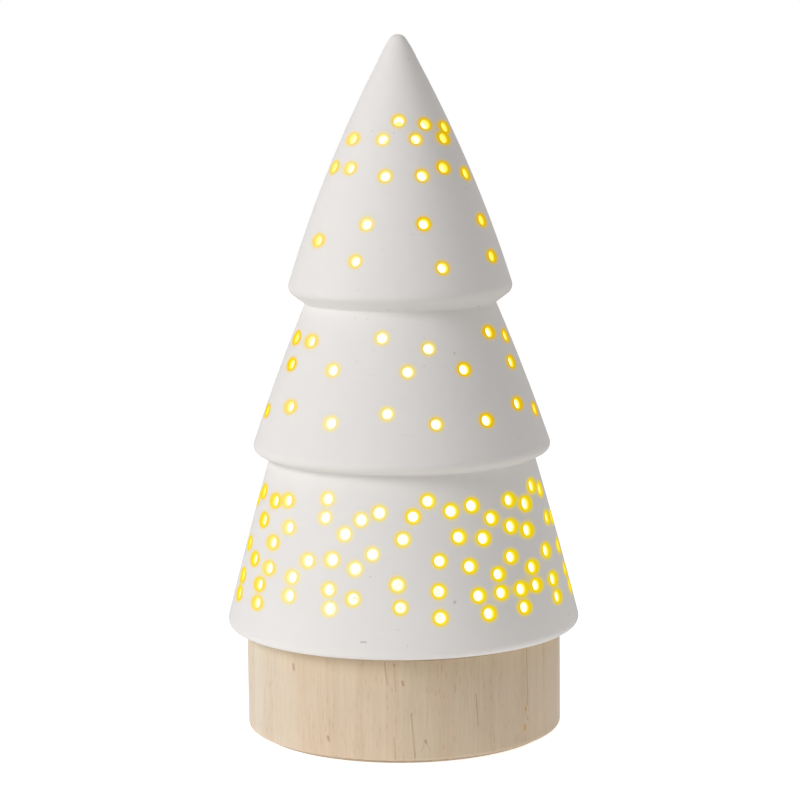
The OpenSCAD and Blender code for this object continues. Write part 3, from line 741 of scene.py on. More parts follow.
def cut_hole(hole):
    """Lip and throat of a hole. Keeps its edge rings on the outer and the inner wall."""
    hole.washed = washed_by_daylight(hole)
    rings = [add_points(hole.circle(hole.edge), 0.0, hole.washed)]
    for step in range(1, lip_steps + 1):
        turn = math.radians(90 * step / lip_steps)
        sunk = hole.normal * hole.lip * (1 - math.cos(turn))
        points = hole.circle(hole.throat + hole.lip * (1 - math.sin(turn))) - sunk
        rings.append(add_points(points, -hole.lip * turn, hole.washed))
    lip_end = places(rings[-1])
    inner_wall = hole.circle(hole.throat, guess=-wall_w * math.cos(hole.lean), inset=wall_w)
    length = (lip_end - inner_wall) @ hole.normal
    for share in throat_shares:
        depth = -hole.lip * math.pi / 2 - length * share * throat_reach(hole)
        rings.append(add_points(lip_end - np.outer(length * share, hole.normal), depth, hole.washed))
    for outer, inner in zip(rings, rings[1:]):
        skin_faces.extend(ring_quads(inner, outer))
    hole.outer_ring, hole.inner_ring = rings[0], rings[-1]
    skin_sharp.extend(zip(hole.inner_ring, np.roll(hole.inner_ring, -1)))


punched = [Hole(bearing, height) for bearing, height in holes]
for hole in punched:
    cut_hole(hole)
print("cut", len(punched), "holes,", len(skin_faces), "faces in their walls")

# %% [markdown]
# Now the bands between the rings. Loose points fill the unrolled band in staggered rows, and
# rings of them follow each hole, so that its halo fades evenly. A point that would crowd
# another is left out.

# %% Loose points of a band
halo_steps = (0.5, 1.1)
widest_halo = 1.6
# Rows of even triangles lie closer together than the points in a row
row_share = 0.87
row_scatter = 0.06
band_margin = 0.5
hole_margin = 0.42
halo_reach = 1.3


def bearing_of(points):
    return np.degrees(np.arctan2(points[:, 0], -points[:, 1]))


def unroll(bearing, radius, cone):
    """Flat place of a point of the wall: cone is the sine of the wall's lean."""
    turn = np.radians(bearing) * cone
    return np.stack([radius / cone * np.sin(turn), -radius / cone * np.cos(turn)], -1)


def halo_distance(hole, points):
    """Distance outwards from a hole's edge. On the side walls the glow spreads along the wall."""
    wide = 1.0
    if abs(hole.bearing) < 90:
        wide = min(1 / math.cos(math.radians(hole.bearing)) ** 0.9, widest_halo)
    away = points - hole.centre
    across, up, out = away @ hole.across, away @ hole.up, away @ hole.normal
    return np.maximum(np.sqrt((across / wide) ** 2 + up**2 + out**2) - hole.edge, 0)


def scattered_rows(tier, band, inset, spacing):
    """Staggered rows of points on the wall of a band, from its top row down."""
    slant = math.hypot(1, tier.slope(sum(band) / 2))
    rows = max(2, round((band[1] - band[0]) * slant / (spacing * row_share)))
    found = []
    for row in range(1, rows):
        z = band[0] + (band[1] - band[0]) * row / rows
        r = tier.wall_r(z) - inset
        count = max(12, round(2 * math.pi * r / spacing))
        bearings = (np.arange(count) + 0.5 * (row % 2)) * 360 / count - 180
        found.append(around(bearings + chance.uniform(-row_scatter, row_scatter, count) * 360 / count, r, z))
    return found[::-1]


def uncrowded(flat, wanted, least):
    """The wanted points of a flat layout, without those too close to one that is already kept."""
    taken = []
    cells = {}
    cell_size = least.max()
    for i in wanted:
        column, row = (flat[i] // cell_size).astype(int)
        around_it = [(column + dx, row + dy) for dx in (-1, 0, 1) for dy in (-1, 0, 1)]
        close = [k for cell in around_it for k in cells.get(cell, [])]
        if all(math.hypot(*(flat[i] - flat[k])) >= least[i] for k in close):
            cells.setdefault((column, row), []).append(i)
            taken.append(i)
    return taken


def loose_points(tier, band, inset, spacing, own, cone):
    """Points in rows and, on the outer wall, round the holes, clear of every hole."""
    outside = inset == 0
    found = scattered_rows(tier, band, inset, spacing)
    if outside:
        turned = ring_angles + ring_angles[1] / 2
        halos = [hole.circle(hole.edge + step, turned) for hole in own for step in halo_steps]
        found = halos[::-1] + found
    found = np.concatenate(found)
    nearest = np.full(len(found), FAR_OUT)
    glow = np.full(len(found), FAR_OUT)
    owner = np.zeros(len(found), int)
    for number, hole in enumerate(own):
        ring, edge = (hole.outer_ring, hole.edge) if outside else (hole.inner_ring, hole.throat)
        away = np.linalg.norm(found - places(ring).mean(0), axis=1) - edge
        nearest = np.minimum(nearest, away)
        seen = halo_distance(hole, found)
        owner = np.where(seen < glow, number, owner)
        glow = np.minimum(glow, seen)
    in_band = (found[:, 2] > band[0] + band_margin) & (found[:, 2] < band[1] - band_margin)
    wanted = np.flatnonzero(in_band & (nearest > hole_margin))
    closer = np.where((nearest < halo_reach) & outside, 0.8, 1.0)
    flat = unroll(bearing_of(found), np.hypot(found[:, 0], found[:, 1]), cone)
    taken = uncrowded(flat, wanted, spacing * 0.5 * closer)
    washed = np.array([hole.washed for hole in own])[owner[taken]]
    return add_points(found[taken], glow[taken] if outside else FAR_IN, washed)


# %% [markdown]
# A constrained Delaunay triangulation joins the loose points with the rings and with the
# band's two edges. The band is unrolled a little past its seam on both sides, so that the two
# ends match, and the triangles of one turn are kept.

# %% Filling a pierced band
# How many degrees the unrolled band runs on past each end of its turn
past_seam = 30
# How far inside those ends a copy of a hole, and a copy of a loose point, has to lie
hole_inside, loose_inside = 12, 2


def clear_seam(own):
    """The bearing that is farthest from every hole of a band, where its seam does no harm."""
    turns = np.array([hole.bearing for hole in own])
    return max(range(-180, 180), key=lambda seam: np.abs((turns - seam + 180) % 360 - 180).min())


class FlatBand:
    """The points and fixed edges of one unrolled band, with copies past both ends of its seam."""

    def __init__(self, seam, cone):
        self.seam, self.cone = seam, cone
        self.places, self.numbers, self.edges = [], [], []

    def lay(self, numbers, bearings, edges=None):
        """Lays points out flat. The edges of a line stay open, those of a ring close."""
        first = len(self.places)
        points = places(numbers)
        radii = np.hypot(points[:, 0], points[:, 1])
        self.places.extend(map(tuple, unroll(bearings, radii, self.cone)))
        self.numbers.extend(int(n) for n in numbers)
        last = len(self.places)
        if edges:
            self.edges.extend((i, i + 1) for i in range(first, last - 1))
        if edges == "ring":
            self.edges.append((last - 1, first))

    def lay_level_ring(self, ring):
        """Lays a level ring as one long line."""
        turns = np.arange(-len(ring), 2 * len(ring))
        local = turns * (360 / len(ring)) - self.seam
        local = local - 360 * round(local.mean() / 360)
        near = np.abs(local) < 180 + past_seam
        self.lay(ring[turns[near] % len(ring)], local[near], "line")

    def lay_hole(self, hole, ring):
        """Lays a hole's ring, once for each copy that is in reach."""
        turn = (bearing_of(places(ring)) - hole.bearing + 180) % 360 - 180
        local = (hole.bearing - self.seam) % 360 - 180
        for copy in (-360, 0, 360):
            if abs(local + copy) < 180 + past_seam - hole_inside:
                self.lay(ring, local + copy + turn, "ring")

    def lay_loose(self, numbers):
        """Lays loose points, and the copies of those near the seam."""
        local = (bearing_of(places(numbers)) - self.seam) % 360 - 180
        for copy in (-360, 0, 360):
            here = np.abs(local + copy) < 180 + past_seam - loose_inside
            self.lay(numbers[here], local[here] + copy)


def fill_band(tier, band, upper, lower, inset=0.0, spacing=1.35):
    """Triangles between two level rings, round every hole of the band."""
    own = [h for h in punched if h.tier is tier]
    cone = math.sin(math.atan(tier.slope(sum(tier.band) / 2)))
    flat = FlatBand(clear_seam(own), cone)
    flat.lay_level_ring(upper)
    flat.lay_level_ring(lower)
    ring_of = {}
    for number, hole in enumerate(own):
        ring = hole.inner_ring if inset else hole.outer_ring
        flat.lay_hole(hole, ring)
        ring_of.update((int(i), number) for i in ring)
    flat.lay_loose(loose_points(tier, band, inset, spacing, own, cone))
    made = delaunay_2d_cdt([Vector(p) for p in flat.places], flat.edges, [], 0, 1e-7, True)
    spots, triangles, sources = made[0], made[2], made[3]
    reach = [math.hypot(*skin_points[ring[0]][:2]) / cone for ring in (upper, lower)]
    kept = 0
    for triangle in triangles:
        middle = sum((spots[i] for i in triangle), Vector((0, 0))) / 3
        turn = math.degrees(math.atan2(middle.x, -middle.y)) / cone
        corners = [flat.numbers[sources[i][0]] for i in triangle]
        rings = {ring_of.get(c) for c in corners}
        in_hole = len(rings) == 1 and None not in rings
        if -180 <= turn < 180 and reach[0] < middle.length < reach[1] and not in_hole:
            skin_faces.append(tuple(corners[::-1] if inset else corners))
            kept += 1
    print("band", band, "inner" if inset else "outer", kept, "triangles")


# %% [markdown]
# The plain parts of the profile are turned: the tip, the three rims with their undersides, the
# floor with the mouth that fits the spigot, and the inner wall. Going once round the profile, from
# the tip outside to the top of the hollow inside, closes the skin.

# %% Tip and upper rims
rim_steps = 9
neck_round = 0.5
tip_bulge = 0.16
tip_count = ring_count(top_tier.wall_r(top_tier.band[1]))


def cone_cap(pole, ring, outward):
    """Triangles from a pole to the ring round it."""
    for first, second in zip(ring, np.roll(ring, -1)):
        skin_faces.append((pole, first, second) if outward else (first, pole, second))


def rim_profile(tier):
    """Wall below the pierced band, then the rounded rim."""
    angles = np.linspace(tier.lean, -tier.turn, rim_steps)
    return [tier.wall((tier.band[0] + tier.end[1]) / 2)] + [tier.rim_point(a) for a in angles]


# A ball that runs into the wall where both have the same radius
ball = np.radians(range(80, 29, -10))
ball_z = tip_z - tip_round
tip_profile = [(tip_round * math.cos(a), ball_z + tip_round * math.sin(a)) for a in ball]
ball_end = tip_profile[-1]
wall_from = top_tier.down(0.14)
wall_end = top_tier.wall(wall_from)
for share in (0.25, 0.5, 0.75):
    r, z = (a + (b - a) * share for a, b in zip(ball_end, wall_end))
    tip_profile.append((r + tip_bulge * 4 * share * (1 - share), z))
tip_profile += [top_tier.wall(z) for z in np.linspace(wall_from, top_tier.band[1], 6)]
tip_rings = turned_strip(tip_profile, tip_count, FAR_OUT)
cone_cap(add_points([(0, 0, tip_z)], FAR_OUT)[0], tip_rings[0], outward=True)

upper_edge, lower_edge = [tip_rings[-1]], []
for tier, below in zip(tiers, tiers[1:]):
    profile = rim_profile(tier)
    wall_below = below.wall(below.top[1] - 2)
    profile += fillet(profile[-1], below.top, wall_below, neck_round) + [wall_below]
    count = ring_count(tier.rim[0])
    start = turned_ring(*tier.wall(tier.band[0]), count, FAR_OUT)
    finish = turned_ring(*below.wall(below.band[1]), count, FAR_OUT)
    turned_strip(profile, count, FAR_OUT, start, finish)
    lower_edge.append(start)
    upper_edge.append(finish)
print(len(skin_points), "points so far")

# %% Lowest rim, floor and inner wall
floor_top = seat_z + floor_t
inner_foot = low_tier.wall(low_tier.down(0.95), wall_w)
inner_bands = [(131.4, 179.2), (88.8, 119.4), (37.6, 75.4)]
seat_middle, mouth_low, mouth_high = (40, seat_z), (mouth_r, seat_z), (mouth_r, floor_top)
outside = rim_profile(low_tier)
outside += fillet(outside[-1], (seat_r, seat_z), seat_middle, 0.3)
outside += fillet(seat_middle, mouth_low, mouth_high, 0.5)
outside += fillet(mouth_low, mouth_high, (40, floor_top), 0.5)
lit_floor = fillet(mouth_high, (inner_foot[0] - 2, floor_top), inner_foot, 0.8) + [inner_foot]
count = ring_count(low_tier.rim[0])
start = turned_ring(*low_tier.wall(low_tier.band[0]), count, FAR_OUT)
lower_edge.append(start)
rings = turned_strip(outside, count, FAR_OUT, start)
finish = turned_ring(*low_tier.wall(inner_bands[2][0], wall_w), count, FAR_IN)
turned_strip(lit_floor, count, FAR_IN, rings[-1], finish)

inner_low, inner_high = [finish], []
for n in (2, 1):
    tier, above = tiers[n], tiers[n - 1]
    count = ring_count(tier.top[0])
    start = turned_ring(*tier.wall(inner_bands[n][1], wall_w), count, FAR_IN)
    finish = turned_ring(*above.wall(inner_bands[n - 1][0], wall_w), count, FAR_IN)
    inside_neck = [(r - wall_w, z) for r, z in (tier.top, above.end)]
    turned_strip(inside_neck, count, FAR_IN, start, finish)
    inner_high.insert(0, start)
    inner_low.insert(0, finish)
inner_tip_count = 32
inner_high.insert(0, turned_ring(*top_tier.wall(inner_bands[0][1], wall_w), inner_tip_count, FAR_IN))
inner_tip = [top_tier.wall(z, wall_w) for z in (184, 188.5, wall_from)]
rings = turned_strip(inner_tip, inner_tip_count, FAR_IN, inner_high[0])
cone_cap(add_points([(0, 0, wall_from + 1)], FAR_IN)[0], rings[-1], outward=False)
for tier, upper, lower in zip(tiers, upper_edge, lower_edge):
    fill_band(tier, tier.band, upper, lower)
for tier, band, upper, lower in zip(tiers, inner_bands, inner_high, inner_low):
    fill_band(tier, band, upper, lower, inset=wall_w, spacing=2.6)
print(len(skin_points), "points in the whole skin")

# %% [markdown]
# The finished skin becomes a mesh. It rides on the hood's body and stands for its solid, so it
# lifts off when the hood does. An open edge would leak light, so the edges are counted.

# %% The pierced tree
def mesh_piece(name, points, faces, material, body, stands_for):
    """A mesh from points in mm, which rides on a body and stands for a CAD node."""
    mesh = bpy.data.meshes.new(name)
    mesh.from_pydata([tuple(float(v) * MM for v in p) for p in points], [], faces)
    mesh.materials.append(material)
    mesh.polygons.foreach_set("use_smooth", [True] * len(mesh.polygons))
    mesh.update()
    piece = new_object(name, mesh)
    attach(piece, body)
    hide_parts(stands_for)
    print(name, "has", len(faces), "faces and stands for", stands_for)
    return piece


def open_edges(mesh):
    """How many edges don't have exactly two faces, and how much the mesh holds in ml."""
    shape = bmesh.new()
    shape.from_mesh(mesh)
    loose = sum(1 for e in shape.edges if not e.is_manifold)
    volume = shape.calc_volume(signed=True) * 1e6
    shape.free()
    return loose, round(volume, 1)


faces = [tuple(int(i) for i in f) for f in skin_faces]
tree_piece = mesh_piece("pierced_tree", skin_points, faces, bisque_finish, "hood", "ceramic_tree")
tree_mesh = tree_piece.data
for name, values in (("hole_depth", skin_depth), ("washed_out", skin_washed)):
    attribute = tree_mesh.attributes.new(name, "FLOAT", "POINT")
    attribute.data.foreach_set("value", np.asarray(values, np.float32))
sharp = {tuple(sorted((int(a), int(b)))) for a, b in skin_sharp}
edge_sharp = [tuple(sorted(e.vertices)) in sharp for e in tree_mesh.edges]
tree_mesh.attributes.new("sharp_edge", "BOOLEAN", "EDGE").data.foreach_set("value", edge_sharp)
print("open edges and volume in ml:", open_edges(tree_mesh))

# %% [markdown]
# ## The wooden base
# The base is a disc turned from pale softwood, left bare. Its grain runs upright, so the side
# shows narrow upright bands, warm and pinkish by turns, fine fibres, short dark flecks, a few
# pin knots, and thin drying cracks. The flat faces above and below show end grain.
# One solid texture does both, because the growth rings and fibres are laid out in space
# round a pith well outside the disc, as they were in the tree. A picture of wood would have to
# be unwrapped round the side, and its grain would break off at the edge.

# %% Marks in the wood
base_r = 45.5
pith = (150.0, 95.0, 0.0)
pale, pink, grey_brown = (0.66, 0.535, 0.395), (0.64, 0.496, 0.359), (0.572, 0.459, 0.337)
# Bearing, top, foot and width
knots = [
    (-42.8, 26.0, 24.6, 0.6), (-27.9, 7.1, 6.1, 0.55), (-0.6, 23.8, 22.8, 0.5), (-3.5, 28.7, 28.2, 0.35),
    (7.2, 7.0, 6.4, 0.5), (133.0, 21.0, 19.0, 0.8), (205.0, 9.0, 7.4, 0.7), (96.0, 17.0, 15.6, 0.6),
]
resin_beads = [(48.5, 12.2, 11.4, 0.55), (49.7, 9.0, 8.6, 0.4), (48.1, 7.0, 5.9, 0.6)]
# Bearing and height of the top, bearing and height of the foot, width and strength
cracks = [
    (-6.8, 29.3, -5.8, 22.8, 0.3, 0.34), (-3.4, 28.6, -3.0, 21.0, 0.26, 0.24),
    (2.4, 14.8, 3.6, 2.0, 0.32, 0.4), (-3.7, 8.0, -3.2, 1.6, 0.26, 0.3),
    (25.9, 18.8, 26.6, 9.8, 0.28, 0.34), (49.1, 29.5, 49.8, 12.6, 0.26, 0.34),
    (60.4, 29.5, 60.6, 15.0, 0.4, 0.16), (-60.9, 16.5, -60.3, 12.2, 0.4, 0.16),
    (17.8, 22.5, 18.0, 20.0, 0.3, 0.2), (6.8, 6.4, 5.7, 3.6, 0.22, 0.2),
    (7.6, 6.4, 9.0, 3.8, 0.22, 0.2), (33.2, 7.0, 33.3, 4.6, 0.26, 0.22),
    (118.0, 28.0, 118.8, 11.0, 0.28, 0.32), (164.0, 20.0, 163.4, 3.0, 0.28, 0.32),
    (221.0, 29.0, 221.6, 17.0, 0.28, 0.3), (262.0, 13.0, 262.6, 2.0, 0.28, 0.3),
]
# Painted light and shade laid into the wood's colour: a warm painted shade towards the top, under
# the rim, a painted highlight that pales the left side, and painted shade over the right side.
# The axis, where the tone starts, where it is full, and the tone
painted_wood_light_and_shade = [
    ("Z", 21.0, 29.0, (1.0, 0.985, 0.93)),
    ("X", -28.0, -42.0, (1.05, 1.13, 1.22)),
    ("X", -6.0, 2.0, (0.915, 0.917, 0.905)),
]
print(len(knots), "knots,", len(cracks), "cracks and", len(resin_beads), "beads of resin")

# %% Wood finish
def grain(f, fibres):
    """Colour of the clean wood: growth rings, broad upright bands, fibres and short flecks."""
    from_pith = f.vectors("MULTIPLY", f.vectors("SUBTRACT", f.place, pith), (1, 1, 0))
    wander = f.noise(f.squeezed(1, 1, 0.3), 0.03, 2.0)
    radius = f.maths("MULTIPLY_ADD", wander, 7.0, f.vectors("LENGTH", from_pith))
    ring_place = f.node("CombineXYZ", {"X": radius})["Vector"]
    banded = f.noise(f.squeezed(1, 1, 0.12), 0.11, 6.0, 0.62)
    colour = f.blend(f.ramp(banded, (0.44, 0.0), (0.58, 1.0)), pale, pink)
    rings = f.ramp(f.noise(ring_place, 0.42, 3.0, 0.6), (0.5, 0.0), (0.72, 0.55))
    colour = f.blend(rings, colour, grey_brown)
    late_wood = f.ramp(f.waves(ring_place, 0.11, 0.0, "X"), (0.86, 0.0), (1.0, 0.22))
    colour = f.blend(late_wood, colour, (0.6, 0.44, 0.29))
    colour = f.shaded(colour, f.fade(fibres, 0.3, 0.7, 0.93, 1.05))
    flecks = f.ramp(f.spots(f.squeezed(1, 1, 0.24), 0.95), (0.12, 0.6), (0.32, 0.0))
    patchy = f.ramp(banded, (0.42, 0.2), (0.6, 1.0))
    return f.blend(f.maths("MULTIPLY", flecks, patchy), colour, (0.52, 0.35, 0.22))


def wood():
    f = Finish("turned_softwood", 0.62, Sheen_Weight=0.5, Sheen_Roughness=0.2)
    fibres = f.noise(f.squeezed(1, 1, 0.045), 2.1, 5.0, 0.7)
    colour = grain(f, fibres)
    for bearing, top, foot, width in knots:
        ends = on_wall(bearing, top, base_r), on_wall(bearing + 0.3, foot, base_r)
        colour = f.blend(f.mark(*ends, width * 1.7, 0.3), colour, (0.56, 0.38, 0.25))
        colour = f.blend(f.mark(*ends, width * 0.8, 0.6), colour, (0.36, 0.2, 0.12))
    broken = f.ramp(fibres, (0.38, 0.35), (0.56, 1.0))
    groove = None
    for bearing, top, other, foot, width, strength in cracks:
        ends = on_wall(bearing, top, base_r), on_wall(other, foot, base_r)
        crack = f.maths("MULTIPLY", f.mark(*ends, width, strength * 1.7), broken)
        colour = f.blend(crack, colour, (0.36, 0.2, 0.11))
        groove = crack if groove is None else f.maths("MAXIMUM", groove, crack)
    for bearing, top, foot, width in resin_beads:
        ends = on_wall(bearing, top, base_r), on_wall(bearing, foot, base_r)
        colour = f.blend(f.mark(*ends, width, 0.85), colour, (0.6, 0.31, 0.06))
    # Painted shade under the rim and over the right side, and a painted highlight on the left side
    for axis, start, full, tone in painted_wood_light_and_shade:
        toned = f.blend(1.0, colour, tone, "MULTIPLY")
        colour = f.blend(f.fade(f.along(axis), start, full), colour, toned)
    # Handled and dusty by turns
    f.put(Base_Color=f.clouded(colour, 14.0, 0.1), Roughness=f.fade(fibres, 0.3, 0.7, 0.56, 0.74))
    f.relief(f.maths("MULTIPLY_ADD", groove, -0.8, fibres), 0.3, 0.08)
    return f.material


def dress(material, *nodes):
    """Gives CAD nodes a better material. Their shape stays as it is."""
    for name in nodes:
        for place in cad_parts[name].material_slots:
            place.material = material
    print(material.name, "dresses", *nodes)


dress(wood(), "wooden_base")

# %% [markdown]
# ## Felt
# A ring of beige felt keeps the wood off the table. Pressed wool has no weave, only a tangle
# of fibres. Hairs would show it best, but they are heavy for a ring that hardly shows, so two
# noises laid across each other give the tangle, and a sheen the soft edge.

# %% Felt finish
def felt():
    f = Finish("pressed_felt", 0.95, Sheen_Weight=0.4, Sheen_Roughness=0.6)
    two_ways = [f.noise(f.squeezed(*way), 2.6, 4.0) for way in ((1, 0.25, 1), (0.25, 1, 1))]
    tangle = f.maths("MAXIMUM", *two_ways)
    colour = f.ramp(tangle, (0.35, (0.52, 0.43, 0.32)), (0.7, (0.72, 0.62, 0.49)))
    f.put(Base_Color=f.clouded(colour, 9.0, 0.2))
    f.relief(tangle, 0.7, 0.2)
    return f.material


dress(felt(), "felt_ring")

# %% [markdown]
# ## Moulded plastic
# The battery case, its lid and door, the lamp holder and the switch knob are injection
# moulded. Such a surface has the fine spark texture of its mould, a hint of flow clouding,
# and a little dust. One flat colour would do from afar and look false from near, so a fine grit
# drives both the relief and the gloss. The pieces differ in colour and gloss only, so one
# function makes all of their finishes.

# %% Plastic finishes
def moulded(name, colour, roughness, grains=4.0):
    f = Finish(name, roughness)
    texture = f.grit(grains)
    dust = f.patches(f.place, 0.35, 0.58, 0.75, 0.18, detail=6.0)[0]
    dusty = tuple(c * 0.55 + 0.2 for c in colour)
    f.put(Base_Color=f.blend(dust, f.clouded(colour, 18.0, 0.06), dusty))
    f.put(Roughness=f.fade(texture["Shade"], 0.3, 0.7, roughness - 0.06, roughness + 0.1))
    f.relief(texture["Height"], 0.35, 0.04)
    return f.material


dress(moulded("case_plastic", (0.84, 0.83, 0.8), 0.45), "battery_case", "case_lid", "battery_door")
dress(moulded("holder_plastic", (0.87, 0.86, 0.83), 0.5), "lamp_holder")
dress(moulded("knob_plastic", (0.035, 0.035, 0.038), 0.4, grains=6.0), "switch_knob")

# %% [markdown]
# ## Metals
# The contacts are nickel plated strip, the springs nickel plated wire, the screws zinc plated
# steel, and the switch body plain stamped steel. All of them are bright metals with a grain:
# drawn or rolled lines, and a plating that dulls in patches. The lines could be modelled as
# grooves, but they are finer than a mesh can hold. A noise squeezed along the metal draws them,
# and the same noise drives the dull patches and the gloss, because wear follows the lines.

# %% Metal finishes
def plated(name, colour, roughness, grain_squeeze, dull):
    f = Finish(name, roughness, Metallic=1.0)
    patches, lines = f.patches(f.squeezed(*grain_squeeze), 6.0, 0.5, 0.72, dull)
    bright = f.clouded(colour, 3.0, 0.3)
    f.put(Base_Color=f.blend(patches, bright, tuple(c * 0.55 for c in colour)))
    f.put(Roughness=f.fade(lines, 0.3, 0.7, roughness - 0.08, roughness + 0.16))
    f.relief(lines, 0.2, 0.02)
    return f.material


nickel_strip = plated("nickel_strip", (0.79, 0.77, 0.73), 0.3, (1, 0.1, 1), 0.35)
nickel_wire = plated("nickel_wire", (0.76, 0.75, 0.73), 0.26, (0.15, 1, 1), 0.3)
zinc = plated("zinc_plate", (0.72, 0.73, 0.75), 0.34, (1, 1, 0.3), 0.4)
stamped_steel = plated("stamped_steel", (0.62, 0.62, 0.62), 0.36, (0.12, 1, 1), 0.3)
dress(nickel_strip, "positive_contact", "left_link_contact", "right_link_contact", "negative_contact")
dress(zinc, "case_screws", "lid_screws", "board_screws", "holder_screws")
dress(stamped_steel, "switch_body")

# %% [markdown]
# ## Boards and their parts
# Under the coating of a circuit board the copper tracks stand out as paler, raised lines, and
# the glass cloth shows as a faint weave. Real tracks are drawn one by one. These boards are
# hidden inside, so level runs and short links cut from a brick pattern are enough.
# The small parts have metal ends, told apart by where they lie.

# %% Board finishes
track_grid = {
    "Color1": (1, 1, 1, 1), "Color2": (1, 1, 1, 1), "Mortar": (0, 0, 0, 1), "Scale": 1.0,
    "Mortar Size": 0.16, "Mortar Smooth": 0.2, "Brick Width": 3.4, "Row Height": 1.45,
}
cloth, given, out = new_group("glass_cloth", {"Place": None, "Per mm": 0.9}, ["Weave"])
threads = [cloth.waves(given["Place"], given["Per mm"], 0.3, way) for way in "XY"]
cloth.fill(out["Weave"], cloth.maths("MULTIPLY", *threads))


def coated_board(name, colour, track_colour):
    f = Finish(name, 0.38)
    grid = {"Vector": f.place, **track_grid}
    between = f.node("TexBrick", grid, offset=0.37, squash=0.8, squash_frequency=3)["Color"]
    on_track = f.maths("SUBTRACT", 1.0, between)
    weave = f.node("Group", {"Place": f.place, "Per mm": 0.9}, node_tree=cloth.tree)["Weave"]
    tone = f.blend(f.maths("MULTIPLY", weave, 0.25), colour, tuple(c * 0.75 for c in colour))
    f.put(Base_Color=f.blend(f.maths("MULTIPLY", on_track, 0.7), tone, track_colour))
    f.put(Roughness=f.maths("MULTIPLY", f.cloud(4.0, 0.3), 0.38))
    f.relief(f.maths("MULTIPLY_ADD", weave, 0.15, on_track), 0.5, 0.05)
    return f.material


def with_metal_ends(name, colour, middle, half_length, roughness):
    """A small part whose body has one colour and whose ends, past half_length, are metal."""
    f = Finish(name, roughness)
    away = f.maths("ABSOLUTE", f.maths("SUBTRACT", f.along("X"), middle))
    metal = f.maths("GREATER_THAN", away, half_length)
    texture = f.grit(7.0)
    body = f.blend(texture["Shade"], tuple(c * 0.8 for c in colour), colour)
    f.put(Base_Color=f.blend(metal, body, (0.74, 0.73, 0.71)), Metallic=metal)
    f.relief(texture["Height"], 0.4, 0.04)
    return f.material


dress(coated_board("green_board", (0.03, 0.17, 0.07), (0.09, 0.36, 0.14)), "circuit_board")
dress(coated_board("white_board", (0.82, 0.82, 0.8), (0.7, 0.69, 0.64)), "led_board")
dress(with_metal_ends("chip_black", (0.04, 0.04, 0.042), 0.0, 1.97, 0.5), "timer_chip")
dress(with_metal_ends("resistor_blue", (0.3, 0.46, 0.52), -9.9, 0.7, 0.42), "resistor")

# %% [markdown]
# ## Turned and drawn pieces
# Cells, springs, leads and the frosted dome get meshes of their own, because a lathe profile or
# a swept wire can carry what the plain solids leave out: the crimp of a cell's can, the
# round of a wire, and the rounded end of a lead. A spin or a bevelled curve would make them by
# hand. Two small functions do the same here, so that the ends close and the points are known.

# %% Lathe and wire
def lathe(profile, count):
    """Points and faces of a turned shape; a radius of 0 at an end closes it in a pole."""
    points, faces, rings = [], [], []
    turns = np.arange(count) * 2 * math.pi / count
    for radius, height in profile:
        first = len(points)
        points += [(radius * math.cos(t), radius * math.sin(t), height) for t in (turns if radius else [0])]
        rings.append(range(first, len(points)))
    for low, high in zip(rings, rings[1:]):
        for j in range(count):
            n = (j + 1) % count
            if len(low) == 1:
                faces.append((low[0], high[n], high[j]))
            elif len(high) == 1:
                faces.append((low[j], low[n], high[0]))
            else:
                faces.append((low[j], low[n], high[n], high[j]))
    return points, faces


def wire(route, diameter, sides, start):
    """Points and faces of a round wire along a route, with domed ends."""
    route = [np.array(p, float) for p in route]
    side = np.array(start, float)
    last = len(route) - 1
    # Point of the route, how far past it in quarters of the diameter, and share of the diameter
    stations = [(0, -0.5, 0.5), (0, -0.2, 0.87)]
    stations += [(i, 0.0, 1.0) for i in range(last + 1)]
    stations += [(last, 0.2, 0.87), (last, 0.5, 0.5)]
    points, faces, rings = [], [], []
    for i, past, size in stations:
        heading = route[min(i + 1, last)] - route[max(i - 1, 0)]
        heading /= np.linalg.norm(heading)
        side = side - (side @ heading) * heading
        side /= np.linalg.norm(side)
        other = np.cross(heading, side)
        centre = route[i] + heading * past * diameter / 4
        rings.append(range(len(points), len(points) + sides))
        for turn in np.arange(sides) * 2 * math.pi / sides:
            points.append(centre + diameter / 2 * size * (math.cos(turn) * side + math.sin(turn) * other))
    for low, high in zip(rings, rings[1:]):
        faces += ring_quads(high, low)
    return points, faces + [tuple(rings[0])[::-1], tuple(rings[-1])]


def smooth_route(route, steps):
    """Catmull-Rom points through a route; its first and last stretch stay straight."""
    p = [np.array(v, float) for v in route]
    found = []
    for i in range(len(p) - 1):
        for t in np.arange(steps) / steps:
            if i in (0, len(p) - 2):
                found.append(p[i] + (p[i + 1] - p[i]) * t)
                continue
            a, b, c, d = p[i - 1:i + 3]
            square = (2 * a - 5 * b + 4 * c - d) * t**2
            cube = (3 * b - a - 3 * c + d) * t**3
            found.append(0.5 * (2 * b + (c - a) * t + square + cube))
    return found + [p[-1]]


# %% [markdown]
# A cell is a steel can in a printed sleeve. The sleeve is plain here: dark, with a copper
# coloured band at the end that carries the button. The can's bare metal shows at both ends, past
# the shrunk edge of the sleeve. The sleeve could be a second skin with its own material, but
# colours laid out along the cell's length need no seam in the mesh.

# %% Cells
cell_r = 5.25
cell_l = 44.5
cell_z = 9.2
cell_pitch = 11.3
plate_x = 24.9
spring_l = 2 * plate_x - cell_l
nub_r, nub_h = 1.9, 1.0
band_from = 33.0
sleeve_ends = (0.9, 42.6)


